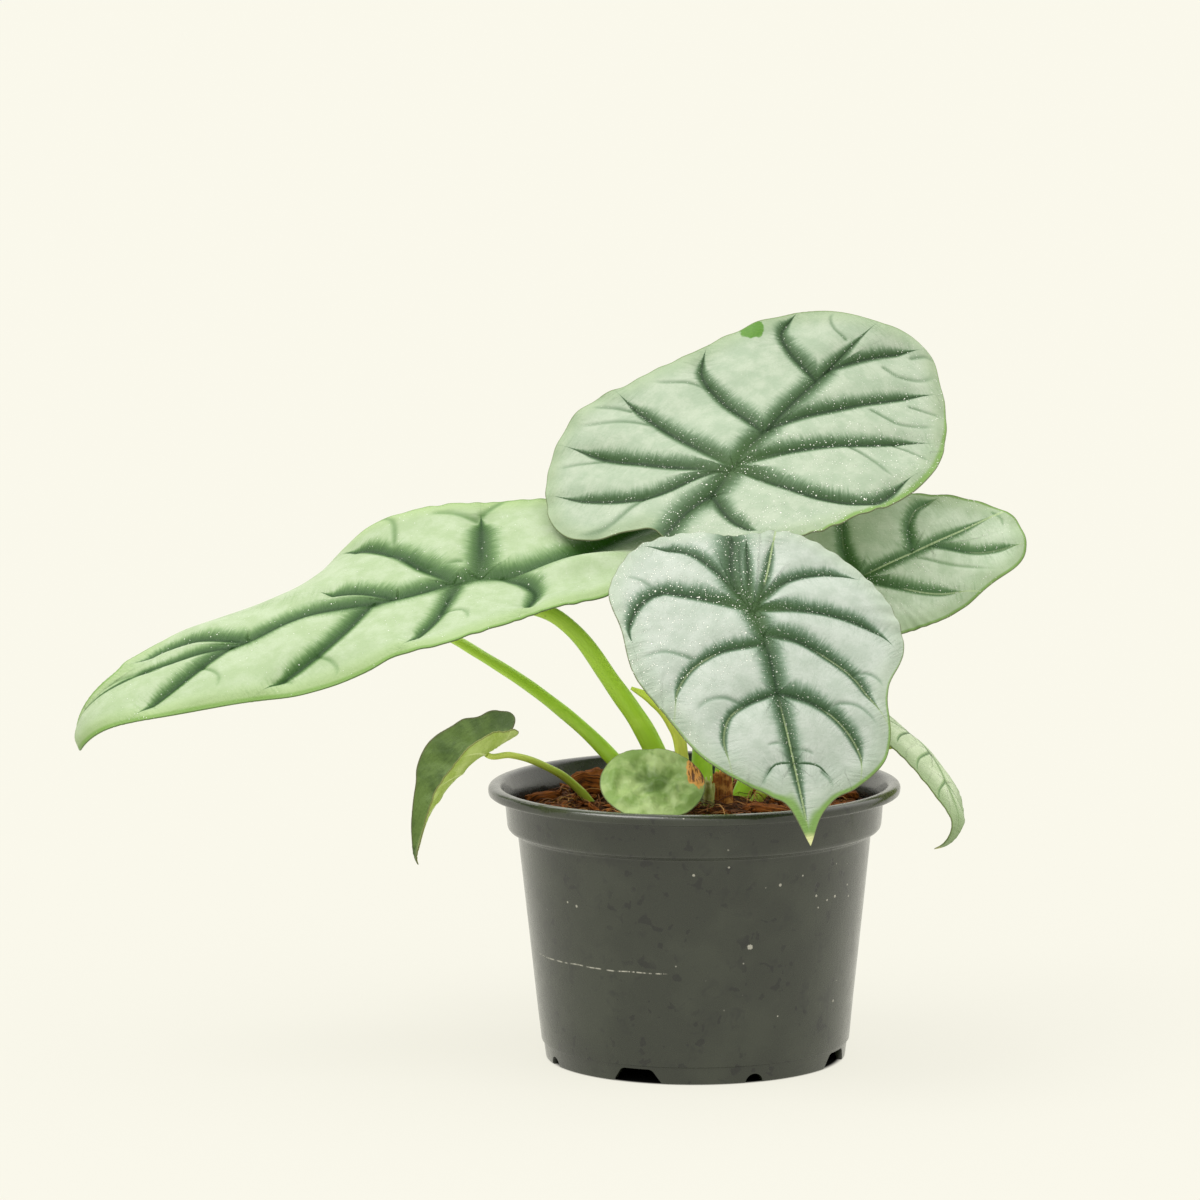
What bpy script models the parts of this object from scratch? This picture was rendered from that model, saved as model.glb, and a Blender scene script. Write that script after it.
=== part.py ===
"""Potted alocasia: a young foliage plant with large silvery leaf blades on long
petioles, growing from a crown in coarse potting mix, in a round nursery pot.

Units are metres, +Z is up, the pot's axis is the Z axis and its foot stands on z = 0.
-Y is the front of the plant, where its front blade hangs over the rim.
Lengths in the tables below are millimetres, angles are degrees.
"""

import math

import bmesh
import bpy
import numpy as np
from mathutils import Matrix, Vector

MM = 0.001

# Nursery pot: outside radii and heights
RIM_RADIUS = 76.2
RIM_TOP = 102.3
RIM_DEPTH = 3.9
BAND_RADIUS = 70.0
BAND_BOTTOM = 85.0
WALL_TOP_RADIUS = 65.3
WALL_FOOT_RADIUS = 57.2
FOOT_HEIGHT = 6.6
FOOT_RADIUS = 55.6
WALL = 1.6
FLOOR = 1.6
FLOOR_UNDERSIDE = 4.4
CENTRE_PAD_RADIUS = 14.0
POT_SEGMENTS = 72

# Notches in the foot ring, alternately wide and small, and drain holes in the floor
NOTCH_COUNT = 8
NOTCH_DEPTH = 9.0
FIRST_NOTCH = -22.5
WIDE_NOTCH = (22.0, 11.8, 5.4)
SMALL_NOTCH_RADIUS = 3.4
DRAIN_RADIUS = 4.5
DRAIN_RING = 34.0
DRAIN_COUNT = 4
DRAIN_CUT = 8.0

# Potting mix and crown
MIX_GAP = 0.35
MIX_MOUND = ((0.0, 96.6), (14.0, 96.4), (36.0, 95.2), (54.0, 93.8), (67.7, 92.4))
CROWN_RADIUS = 20.0
CROWN_HALF_HEIGHT = 17.0
CROWN_CENTRE = (0.0, 0.0, 82.0)
CROWN_TURN = 7.0

# Clearance kept between two pieces that touch in the real plant
SEAT_GAP = 0.35
SOCKET_GAP = 0.45
CHIP_GAP = 0.55

# Blades
BLADE_THICKNESS = 0.9
BLADE_RINGS = 6
BLADE_SECTORS = 36
SMALL_BLADE_RINGS = 4
SMALL_BLADE_SECTORS = 24
BLADE_ANGLES = (0, 3, 8, 16, 28, 45, 70, 95, 120, 145, 165, 180)
MIDRIB_SAMPLES = 240
HEART = (1.0, 0.82, 0.72, 0.61, 0.50, 0.42, 0.36, 0.31, 0.30, 0.32, 0.32, 0.28)

# Each blade is drawn flat about its hub, the point where the petiole meets it: the
# distance from the hub to the margin at BLADE_ANGLES, measured from the tip, down the
# leaf's left half and its right half. The flat shape is then bent:
#   heading, dip, roll    where the midrib points, how far it drops, turn about the midrib
#   droop, base_droop     bend of the midrib towards the tip and towards the base
#   hook, hook_from       extra bend of the tip, from that share of the length
#   fold                  slope of both halves away from the midrib
#   cup, twist            curl across the blade, and turn of the blade along it
#   left_fall, right_fall curl of one half: at the base, and at the tip
BLADES = {
    "front": {
        "hub": (21.0, -56.0, 174.1), "length": 118.0,
        "heading": -70.0, "dip": 44.5, "roll": -7.5,
        "droop": 32.0, "base_droop": 45.0, "cup": -0.16, "fold": -0.11,
        "left": (94, 86, 80, 78, 74, 58, 57, 51, 48, 45, 40, 39),
        "right": (94, 81, 75, 70, 64, 55, 50, 47, 53, 53, 46, 39),
    },
    "top": {
        "hub": (16.7, 20.0, 220.5), "length": 150.0,
        "heading": 50.5, "dip": -29.0, "roll": -19.0,
        "droop": 10.0, "base_droop": 31.0, "cup": -0.05, "fold": -0.09, "twist": 0.66,
        "hook": 70.0, "hook_from": 0.66,
        "left": (101, 98, 93, 85, 74, 63, 62, 73, 74, 68, 46, 48),
        "right": (101, 105, 110, 102, 90, 76, 60, 52, 50, 50, 51, 48),
    },
    "left": {
        "hub": (-78.7, 4.0, 178.9), "length": 165.0,
        "heading": 190.0, "dip": 8.0, "roll": 19.5,
        "droop": 20.0, "base_droop": -3.0, "fold": 0.08,
        "hook": 140.0, "hook_from": 0.85,
        "left_fall": (0.0, 1.27), "right_fall": (-0.14, 1.57), "fall_span": (0.05, 0.5),
        "left": (171, 167, 150, 116, 85, 62, 53, 46, 46, 57, 66, 71),
        "right": (171, 146, 135, 118, 93, 86, 56, 49, 51, 63, 74, 71),
    },
    "right": {
        "hub": (65.0, 48.0, 173.8), "length": 80.0,
        "heading": 30.0, "dip": -18.5, "roll": -49.5,
        "droop": 9.0, "cup": -0.15, "twist": 0.08,
        "left": (68, 65, 60, 53, 45, 42, 41, 41, 40, 40, 40, 39),
        "right": (68, 70, 70, 67, 51, 40, 31, 28, 32, 36, 38, 39),
    },
    "back": {
        "hub": (-111.8, 70.0, 160.3), "length": 80.0,
        "heading": 152.0, "dip": 22.0, "roll": 10.0,
        "droop": 20.0, "fold": 0.05,
        "heart": 78.0,
    },
    "small_left": {
        "hub": (-75.6, -46.0, 121.4), "length": 56.0,
        "heading": 201.5, "dip": 28.0, "roll": 14.0,
        "droop": 66.0, "fold": 1.15, "hook": 110.0, "hook_from": 0.8,
        "left_fall": (-0.6, 0.0),
        "left": (52, 44, 37, 30, 25, 20, 16, 14, 13, 14, 13, 7),
        "right": (52, 45, 36, 28, 23, 18, 13, 12, 12, 16, 17, 7),
    },
    "round": {
        "hub": (-15.2, -40.0, 109.7), "length": 30.0,
        "heading": -84.0, "dip": 34.0, "roll": 0.0,
        "droop": 10.0, "cup": -0.12,
        "left": (20, 20, 20, 20, 20, 20, 19.5, 19, 18, 17, 16, 15),
        "right": (20, 20, 20, 20, 20, 20, 19.5, 19, 18, 17, 16, 15),
    },
    "low_right": {
        "hub": (80.3, 8.0, 118.7), "length": 58.0,
        "heading": -52.0, "dip": 24.5, "roll": 28.5,
        "droop": 41.5, "fold": -0.29, "hook": 88.0, "hook_from": 0.7,
        "right_fall": (0.1, 0.1),
        "heart": 60.0,
    },
}
SMALL_BLADES = ("small_left", "round", "low_right")

# Each petiole starts in the crown or the mix and runs through its points to the blade's
# hub, which is worked out from the blade. radii are at the foot and at the blade, arrive
# is how long it runs in its last direction, and hollow is how far the blade curls down
# around its end.
PETIOLES = {
    "left": {
        "points": ((-7.0, -4.0, 87.0), (-14.4, -4.0, 114.2), (-29.5, -3.5, 139.1),
                   (-48.8, 1.0, 162.7)),
        "radii": (4.6, 2.3), "arrive": 14.0,
    },
    "back": {
        "points": ((-13.0, 7.0, 87.0), (-30.5, 10.0, 109.8), (-52.4, 20.0, 128.6),
                   (-86.0, 46.0, 147.2)),
        "radii": (3.3, 1.5), "arrive": 10.0,
    },
    "front": {
        "points": ((9.5, -7.0, 87.0), (11.5, -8.5, 112.0), (15.0, -19.0, 140.0)),
        "radii": (3.9, 2.1), "arrive": 18.0, "hollow": 0.15,
    },
    "top": {
        "points": ((2.0, 9.5, 87.0), (4.0, 15.0, 125.0), (9.0, 27.0, 168.0),
                   (14.0, 36.0, 198.0)),
        "radii": (4.2, 2.2), "arrive": 14.0, "hollow": 0.15,
    },
    "right": {
        "points": ((14.0, 2.5, 87.0), (24.0, 12.0, 112.0), (42.0, 34.0, 140.0),
                   (57.0, 55.0, 158.0)),
        "radii": (3.5, 1.8), "arrive": 12.0,
    },
    "low_right": {
        "points": ((17.0, -6.0, 88.0), (32.0, -2.0, 106.0), (54.0, 4.0, 117.0)),
        "radii": (2.3, 1.4), "arrive": 14.0, "hollow": 0.1,
    },
    "small_left": {
        "points": ((-33.0, 0.0, 84.0), (-37.7, -2.0, 93.7), (-44.3, -8.0, 102.6),
                   (-53.9, -21.0, 111.4), (-66.5, -37.0, 118.4)),
        "radii": (1.9, 1.0), "arrive": 4.0,
    },
    "round": {
        "points": ((-17.0, -24.0, 82.0), (-17.5, -24.5, 97.0), (-16.5, -29.0, 104.0)),
        "radii": (1.7, 1.0), "arrive": 5.0,
    },
}
NEW_SHOOT = ((-3.5, -13.5, 89.0), (-4.6, -12.5, 115.0), (-7.2, -12.5, 125.5),
             (-14.5, -13.0, 134.5), (-23.0, -13.0, 139.4))
NEW_SHOOT_RADII = (2.2, 2.3, 2.4, 1.6, 0.5)

# Dry leaf bases around the crown: foot centre, radius, height, first angle, sweep, flare
SHEATHS = {
    "dry_sheath": ((-1.5, -19.5), 3.6, 14.0, 120.0, 260.0, 0.15),
    "pale_sheath": ((5.4, -16.0), 1.9, 10.5, 170.0, 200.0, 0.05),
    "brown_sheath": ((9.5, -7.0), 5.2, 13.0, 235.0, 100.0, 0.10),
}
SHEATH_THICKNESS = 0.6
SHEATH_COLUMNS = 10
SHEATH_ROWS = 4

# Pieces of coir husk lying on the mix: place, length, width, thickness, turn
HUSK_CHIPS = (
    ((-56.0, 13.0), 14.0, 7.0, 3.0, 25.0),
    ((-38.5, 14.0), 15.0, 11.0, 9.5, -20.0),
    ((-26.0, 44.0), 14.0, 7.5, 2.6, 70.0),
    ((-50.0, -16.0), 13.0, 6.0, 2.4, 110.0),
    ((6.0, 45.0), 16.0, 8.0, 2.8, 5.0),
    ((34.0, 36.0), 17.0, 7.0, 3.0, 40.0),
    ((56.0, 15.0), 14.0, 8.0, 3.6, -65.0),
    ((50.0, -16.0), 16.0, 7.0, 2.6, 20.0),
    ((27.0, -27.0), 18.0, 8.0, 2.8, -15.0),
    ((13.0, -47.0), 14.0, 6.5, 2.4, 50.0),
    ((-38.0, -44.0), 12.0, 6.0, 2.2, -10.0),
    ((34.0, 9.0), 12.0, 6.5, 2.8, 80.0),
)

MATERIALS = {
    "pot_plastic": ((0.060, 0.070, 0.052), 0.42),
    "potting_mix": ((0.085, 0.036, 0.014), 0.95),
    "husk": ((0.30, 0.115, 0.035), 0.90),
    "crown": ((0.22, 0.30, 0.06), 0.60),
    "blade_silver": ((0.60, 0.72, 0.58), 0.42),
    "blade_green": ((0.20, 0.36, 0.10), 0.45),
    "petiole_green": ((0.30, 0.52, 0.06), 0.42),
    "shoot_green": ((0.50, 0.62, 0.12), 0.45),
    "dry_leaf": ((0.42, 0.22, 0.08), 0.85),
}


def clear_scene():
    """Remove every object that the file starts with."""
    for item in list(bpy.data.objects):
        bpy.data.objects.remove(item, do_unlink=True)


def make_collection(name):
    """Return a collection linked to the scene."""
    collection = bpy.data.collections.new(name)
    bpy.context.scene.collection.children.link(collection)
    return collection


def make_material(name):
    """Return the material of that name, made on first use."""
    material = bpy.data.materials.get(name)
    if material is None:
        colour, roughness = MATERIALS[name]
        material = bpy.data.materials.new(name)
        material.use_nodes = True
        shader = material.node_tree.nodes["Principled BSDF"]
        shader.inputs["Base Color"].default_value = (*colour, 1.0)
        shader.inputs["Roughness"].default_value = roughness
        shader.inputs["Metallic"].default_value = 0.0
        material.diffuse_color = (*colour, 1.0)
    return material


def mesh_object(name, mesh, collection, material=None):
    """Link a mesh as an object, with its own copy of a material."""
    item = bpy.data.objects.new(name, mesh)
    collection.objects.link(item)
    mesh.materials.clear()
    if material:
        own = make_material(material).copy()
        own.name = name + "_" + material
        mesh.materials.append(own)
    return item


def baked_mesh(item):
    """Return the mesh of an object with its modifiers applied."""
    graph = bpy.context.evaluated_depsgraph_get()
    return bpy.data.meshes.new_from_object(item.evaluated_get(graph))


def apply_modifiers(item):
    """Replace an object's mesh by its evaluated mesh."""
    mesh = baked_mesh(item)
    item.modifiers.clear()
    item.data = mesh
    return item


def cut(item, cutters):
    """Subtract each cutter from an object with exact Booleans."""
    for cutter in cutters:
        modifier = item.modifiers.new("cut", "BOOLEAN")
        modifier.operation = "DIFFERENCE"
        modifier.solver = "EXACT"
        modifier.object = cutter


def as_cutter(item):
    """Mark an object as a cutter: it is drawn as wire and never rendered."""
    item.hide_render = True
    item.display_type = "WIRE"
    return item


def turned(name, profile, segments, collection, material=None):
    """Turn a closed or axis-to-axis profile of (radius, height) points about Z."""
    mesh = bpy.data.meshes.new(name)
    shape = bmesh.new()
    points = [shape.verts.new((r * MM, 0.0, z * MM)) for r, z in profile]
    for first, second in zip(points, points[1:]):
        shape.edges.new((first, second))
    shape.to_mesh(mesh)
    shape.free()
    item = mesh_object(name, mesh, collection, material)
    screw = item.modifiers.new("turn", "SCREW")
    screw.axis = "Z"
    screw.steps = segments
    screw.render_steps = segments
    screw.use_merge_vertices = True
    screw.merge_threshold = 0.00005
    return item


def pot_profile():
    """Return the pot's section, down the outside and back up the inside."""
    inner_band = BAND_RADIUS - WALL
    inner_wall = WALL_TOP_RADIUS - WALL
    inner_foot = WALL_FOOT_RADIUS - WALL
    floor_top = FLOOR_UNDERSIDE + FLOOR
    outside = [
        (RIM_RADIUS - 3.0, RIM_TOP),
        (RIM_RADIUS - 1.0, RIM_TOP - 0.5),
        (RIM_RADIUS, RIM_TOP - 1.7),
        (RIM_RADIUS - 0.1, RIM_TOP - RIM_DEPTH + 0.5),
        (RIM_RADIUS - 0.9, RIM_TOP - RIM_DEPTH),
        (BAND_RADIUS + 1.2, RIM_TOP - RIM_DEPTH - 0.3),
        (BAND_RADIUS, RIM_TOP - RIM_DEPTH - 1.6),
        (BAND_RADIUS - 0.8, BAND_BOTTOM + 2.2),
        (BAND_RADIUS - 1.5, BAND_BOTTOM + 0.6),
        (BAND_RADIUS - 3.0, BAND_BOTTOM),
        (WALL_TOP_RADIUS + 0.5, BAND_BOTTOM - 0.5),
        (WALL_TOP_RADIUS, BAND_BOTTOM - 1.6),
        (WALL_FOOT_RADIUS, FOOT_HEIGHT + 0.5),
        (FOOT_RADIUS + 0.7, FOOT_HEIGHT - 0.2),
        (FOOT_RADIUS, 0.6),
        (FOOT_RADIUS - 0.5, 0.0),
        (FOOT_RADIUS - 1.8, 0.0),
        (FOOT_RADIUS - 2.3, 0.6),
        (FOOT_RADIUS - 2.3, FLOOR_UNDERSIDE),
        (CENTRE_PAD_RADIUS, FLOOR_UNDERSIDE),
        (CENTRE_PAD_RADIUS - 0.6, 0.0),
        (0.0, 0.0),
    ]
    inside = [
        (0.0, floor_top),
        (inner_foot - 1.0, floor_top),
        (inner_foot + 0.1, floor_top + 1.2),
        (inner_wall, BAND_BOTTOM - 2.2),
        (inner_wall + 1.0, BAND_BOTTOM + 1.0),
        (inner_band - 1.4, BAND_BOTTOM + 1.6),
        (inner_band - 0.6, BAND_BOTTOM + 3.0),
        (inner_band, RIM_TOP - RIM_DEPTH - 1.4),
        (RIM_RADIUS - 5.2, RIM_TOP - 1.4),
        (RIM_RADIUS - 4.3, RIM_TOP - 0.3),
        (RIM_RADIUS - 3.0, RIM_TOP),
    ]
    return outside, inside


def ring_place(angle, radius, height):
    """Return the point at an angle from the front, in degrees, positive to the right."""
    turn = math.radians(angle)
    return Vector((radius * math.sin(turn), -radius * math.cos(turn), height)) * MM


def wide_notch_cutter(name, angle, collection):
    """Return a trapezoid block that opens the foot ring at an angle."""
    bottom, top, height = WIDE_NOTCH
    shape = bmesh.new()
    bmesh.ops.create_cube(shape, size=1.0)
    for vertex in shape.verts:
        across = bottom if vertex.co.z < 0 else top
        vertex.co.x *= across * MM
        vertex.co.y *= NOTCH_DEPTH * MM
        vertex.co.z = height * MM if vertex.co.z > 0 else -2.0 * MM
    mesh = bpy.data.meshes.new(name)
    shape.to_mesh(mesh)
    shape.free()
    item = mesh_object(name, mesh, collection)
    item.location = ring_place(angle, FOOT_RADIUS - 1.0, 0.0)
    item.rotation_euler.z = math.radians(angle)
    return as_cutter(item)


def round_cutter(name, radius, depth, segments, location, rotation, collection):
    """Return a cylinder cutter."""
    shape = bmesh.new()
    bmesh.ops.create_cone(shape, cap_ends=True, segments=segments, radius1=radius * MM,
                          radius2=radius * MM, depth=depth * MM)
    mesh = bpy.data.meshes.new(name)
    shape.to_mesh(mesh)
    shape.free()
    item = mesh_object(name, mesh, collection)
    item.location = location
    item.rotation_euler = rotation
    return as_cutter(item)


def build_pot(parts, cutters):
    """Build the nursery pot with its rolled rim, stepped band and notched foot."""
    outside, inside = pot_profile()
    pot = turned("nursery_pot", outside + inside, POT_SEGMENTS, parts, "pot_plastic")
    apply_modifiers(pot)
    tools = []
    for index in range(NOTCH_COUNT):
        angle = FIRST_NOTCH + index * 360.0 / NOTCH_COUNT
        if index % 2 == 0:
            tools.append(wide_notch_cutter(f"wide_notch_{index}", angle, cutters))
        else:
            place = ring_place(angle, FOOT_RADIUS - 1.0, 0.0)
            spin = (math.radians(90.0), 0.0, math.radians(angle))
            tools.append(round_cutter(f"small_notch_{index}", SMALL_NOTCH_RADIUS,
                                      NOTCH_DEPTH, 16, place, spin, cutters))
    for index in range(DRAIN_COUNT):
        place = ring_place(index * 360.0 / DRAIN_COUNT, DRAIN_RING, FLOOR_UNDERSIDE)
        tools.append(round_cutter(f"drain_{index}", DRAIN_RADIUS, DRAIN_CUT, 20, place,
                                  (0.0, 0.0, 0.0), cutters))
    cut(pot, tools)
    return pot


def mound_height(radius):
    """Return the height of the potting mix at a distance from the pot's axis."""
    radii = [point[0] for point in MIX_MOUND]
    heights = [point[1] for point in MIX_MOUND]
    return float(np.interp(radius, radii, heights))


def build_mix(parts):
    """Build the potting mix as a turned body that fills the pot up to its mound."""
    foot = WALL_FOOT_RADIUS - WALL - MIX_GAP
    wall = WALL_TOP_RADIUS - WALL - MIX_GAP
    band = BAND_RADIUS - WALL - MIX_GAP
    floor_top = FLOOR_UNDERSIDE + FLOOR + MIX_GAP
    profile = list(MIX_MOUND)
    profile += [
        (band - 0.6, BAND_BOTTOM + 3.1),
        (band - 1.4, BAND_BOTTOM + 2.0),
        (wall + 1.0, BAND_BOTTOM + 1.4),
        (wall, BAND_BOTTOM - 2.1),
        (foot, floor_top + 1.3),
        (foot - 1.2, floor_top),
        (0.0, floor_top),
    ]
    mix = turned("potting_mix", profile, POT_SEGMENTS, parts, "potting_mix")
    return apply_modifiers(mix)


def build_crown(name, grow, collection, material=None):
    """Build the crown, a low dome of stem, or its cutter when grow is above zero."""
    shape = bmesh.new()
    bmesh.ops.create_uvsphere(shape, u_segments=20, v_segments=12, radius=MM)
    bmesh.ops.scale(shape, verts=shape.verts,
                    vec=(CROWN_RADIUS + grow, CROWN_RADIUS + grow, CROWN_HALF_HEIGHT + grow))
    bmesh.ops.rotate(shape, verts=shape.verts,
                     matrix=Matrix.Rotation(math.radians(CROWN_TURN), 3, "Z"))
    bmesh.ops.translate(shape, verts=shape.verts, vec=Vector(CROWN_CENTRE) * MM)
    mesh = bpy.data.meshes.new(name)
    shape.to_mesh(mesh)
    shape.free()
    return mesh_object(name, mesh, collection, material)


def tube(name, points, radii, collection, material=None, arrive=None, sides=3):
    """Sweep a round tube along a smooth curve with its own radius at each point.

    arrive, a vector, is where the last stretch comes from, so that the end is square to it.
    """
    curve = bpy.data.curves.new(name, "CURVE")
    curve.dimensions = "3D"
    curve.bevel_depth = MM
    curve.bevel_resolution = sides
    curve.resolution_u = 5
    curve.render_resolution_u = 5
    curve.use_fill_caps = True
    spline = curve.splines.new("BEZIER")
    spline.bezier_points.add(len(points) - 1)
    for knot, point, radius in zip(spline.bezier_points, points, radii):
        knot.co = Vector(point) * MM
        knot.radius = radius
        knot.handle_left_type = "AUTO"
        knot.handle_right_type = "AUTO"
    if arrive is not None:
        last = spline.bezier_points[-1]
        last.handle_left_type = "FREE"
        last.handle_right_type = "FREE"
        last.handle_left = last.co + Vector(arrive) * MM
        last.handle_right = last.co - Vector(arrive) * MM
    path = bpy.data.objects.new(name + "_path", curve)
    collection.objects.link(path)
    mesh = baked_mesh(path)
    bpy.data.objects.remove(path, do_unlink=True)
    shape = bmesh.new()
    shape.from_mesh(mesh)
    bmesh.ops.remove_doubles(shape, verts=shape.verts, dist=0.00001)
    bmesh.ops.recalc_face_normals(shape, faces=shape.faces)
    shape.to_mesh(mesh)
    shape.free()
    return mesh_object(name, mesh, collection, material)


def blade_axes(blade):
    """Return the blade's tip, left and upward directions."""
    heading, dip, roll = (math.radians(blade[key]) for key in ("heading", "dip", "roll"))
    tip = np.array((math.cos(heading) * math.cos(dip), math.sin(heading) * math.cos(dip),
                    -math.sin(dip)))
    level = np.array((-math.sin(heading), math.cos(heading), 0.0))
    above = np.cross(tip, level)
    left = level * math.cos(roll) - above * math.sin(roll)
    up = level * math.sin(roll) + above * math.cos(roll)
    return tip, left, up


def smooth_step(share):
    """Ease a share from 0 to 1."""
    share = np.clip(share, 0.0, 1.0)
    return share * share * (3.0 - 2.0 * share)


def midrib_bend(blade):
    """Return the midrib's side view: share of length, along, rise and bend angle."""
    share = np.linspace(-1.0, 1.3, MIDRIB_SAMPLES)
    ahead = np.clip(share, 0.0, None)
    behind = np.clip(-share, 0.0, None)
    angle = math.radians(blade.get("droop", 0.0)) * ahead
    angle -= math.radians(blade.get("base_droop", 0.0)) * behind
    start = blade.get("hook_from", 0.8)
    angle += math.radians(blade.get("hook", 0.0)) * np.clip((ahead - start) / 0.3, 0, 1) ** 1.2
    step = (share[1] - share[0]) * blade["length"]
    middle = (angle[1:] + angle[:-1]) / 2.0
    along = np.concatenate(([0.0], np.cumsum(np.cos(middle)) * step))
    rise = np.concatenate(([0.0], -np.cumsum(np.sin(middle)) * step))
    along -= np.interp(0.0, share, along)
    rise -= np.interp(0.0, share, rise)
    return share, along, rise, angle


def blade_point(blade, ahead, across):
    """Return the point, in mm, of the bent blade above a point of its flat shape."""
    share, along, rise, angle = midrib_bend(blade)
    length = blade["length"]
    place = ahead / length
    reach = np.interp(place, share, along)
    lift = np.interp(place, share, rise)
    bend = np.interp(place, share, angle)
    height = blade.get("fold", 0.0) * (np.sqrt(across * across + 25.0) - 5.0)
    height += blade.get("cup", 0.0) * across * across / length
    height += blade.get("twist", 0.0) * ahead * across / length
    span = blade.get("fall_span", (0.0, 1.0))
    ease = smooth_step((np.clip(place, 0.0, None) - span[0]) / (span[1] - span[0]))
    for side, key in ((1.0, "left_fall"), (-1.0, "right_fall")):
        base, towards_tip = blade.get(key, (0.0, 0.0))
        half = np.clip(side * across, 0.0, None)
        height -= (base + (towards_tip - base) * ease) * half * half / length
    tip, left, up = blade_axes(blade)
    forward = reach + height * np.sin(bend)
    upward = lift + height * np.cos(bend)
    return np.array(blade["hub"]) + forward * tip + across * left + upward * up


def smooth_curve(stations, values, position):
    """Return a value between hand-set ones, on cubic stretches with shared slopes."""
    slopes = np.diff(values) / np.diff(stations)
    widths = np.diff(stations)
    tangent = np.empty(len(values))
    tangent[1:-1] = (slopes[:-1] * widths[1:] + slopes[1:] * widths[:-1])
    tangent[1:-1] /= widths[1:] + widths[:-1]
    tangent[0] = slopes[0]
    tangent[-1] = slopes[-1]
    index = int(np.clip(np.searchsorted(stations, position, side="right") - 1, 0,
                        len(values) - 2))
    width = widths[index]
    t = (position - stations[index]) / width
    return ((2 * t ** 3 - 3 * t ** 2 + 1) * values[index]
            + (t ** 3 - 2 * t ** 2 + t) * width * tangent[index]
            + (3 * t ** 2 - 2 * t ** 3) * values[index + 1]
            + (t ** 3 - t ** 2) * width * tangent[index + 1])


def margin_distance(blade, degrees):
    """Return the distance from the hub to the margin at an angle from the tip."""
    if "heart" in blade:
        values = [share * blade["heart"] for share in HEART]
    else:
        values = blade["left"] if degrees >= 0 else blade["right"]
    return smooth_curve(np.array(BLADE_ANGLES, float), np.array(values, float), abs(degrees))


def sector_angles(count):
    """Return angles around the hub, closer together near the tip."""
    half = [180.0 * (index / (count / 2)) ** 1.35 for index in range(count // 2 + 1)]
    return [-angle for angle in reversed(half[1:])] + half


def build_blade(key, parts):
    """Build one leaf blade: a grid wrapped round its hub, bent, then given thickness."""
    blade = BLADES[key]
    small = key in SMALL_BLADES
    rings = SMALL_BLADE_RINGS if small else BLADE_RINGS
    angles = sector_angles(SMALL_BLADE_SECTORS if small else BLADE_SECTORS)
    shape = bmesh.new()
    bmesh.ops.create_grid(shape, x_segments=len(angles) - 1, y_segments=rings, size=1.0)
    for vertex in shape.verts:
        column = round((vertex.co.x + 1.0) / 2.0 * (len(angles) - 1))
        share = (vertex.co.y + 1.0) / 2.0
        degrees = angles[column]
        distance = margin_distance(blade, degrees) * share ** 0.85
        ahead = distance * math.cos(math.radians(degrees))
        across = distance * math.sin(math.radians(degrees))
        vertex.co = Vector(blade_point(blade, ahead, across)) * MM
    bmesh.ops.remove_doubles(shape, verts=shape.verts, dist=0.00002)
    bmesh.ops.recalc_face_normals(shape, faces=shape.faces)
    up = Vector(blade_axes(blade)[2])
    if sum((face.normal.dot(up) * face.calc_area() for face in shape.faces)) < 0.0:
        bmesh.ops.reverse_faces(shape, faces=shape.faces)
    mesh = bpy.data.meshes.new("blade_" + key)
    shape.to_mesh(mesh)
    shape.free()
    material = "blade_green" if key in ("small_left", "round") else "blade_silver"
    item = mesh_object("blade_" + key, mesh, parts, material)
    thick = item.modifiers.new("thickness", "SOLIDIFY")
    thick.thickness = BLADE_THICKNESS * MM
    thick.offset = -1.0
    thick.use_even_offset = True
    return apply_modifiers(item)


def petiole_end(key):
    """Return where a petiole ends under its blade, and the way it comes from there.

    It arrives halfway between square to the blade and its own line, so the end's rim
    reaches nearer to the blade than its middle, and the middle is lowered for that.
    """
    blade = BLADES[key]
    spec = PETIOLES[key]
    below = -blade_axes(blade)[2]
    way = np.array(spec["points"][-1]) - np.array(blade["hub"])
    way = way / np.linalg.norm(way) + below
    way = way / np.linalg.norm(way)
    tilt = math.sqrt(max(0.0, 1.0 - float(way @ below) ** 2))
    depth = BLADE_THICKNESS + SEAT_GAP + spec.get("hollow", 0.0) + spec["radii"][1] * tilt
    return np.array(blade["hub"]) + below * depth, way * spec["arrive"]


def build_petiole(key, grow, parts, material=None):
    """Build a petiole, or its cutter when grow is above zero."""
    spec = PETIOLES[key]
    end, arrive = petiole_end(key)
    points = list(spec["points"]) + [tuple(end)]
    first, last = spec["radii"]
    if grow:
        start = Vector(points[0])
        start.z -= grow
        points[0] = tuple(start)
    count = len(points) - 1
    radii = [first + (last - first) * index / count + grow for index in range(count + 1)]
    name = ("socket_" if grow else "petiole_") + key
    sides = 2 if spec["radii"][0] < 2.5 else 3
    return tube(name, points, radii, parts, material, tuple(arrive), sides)


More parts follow.
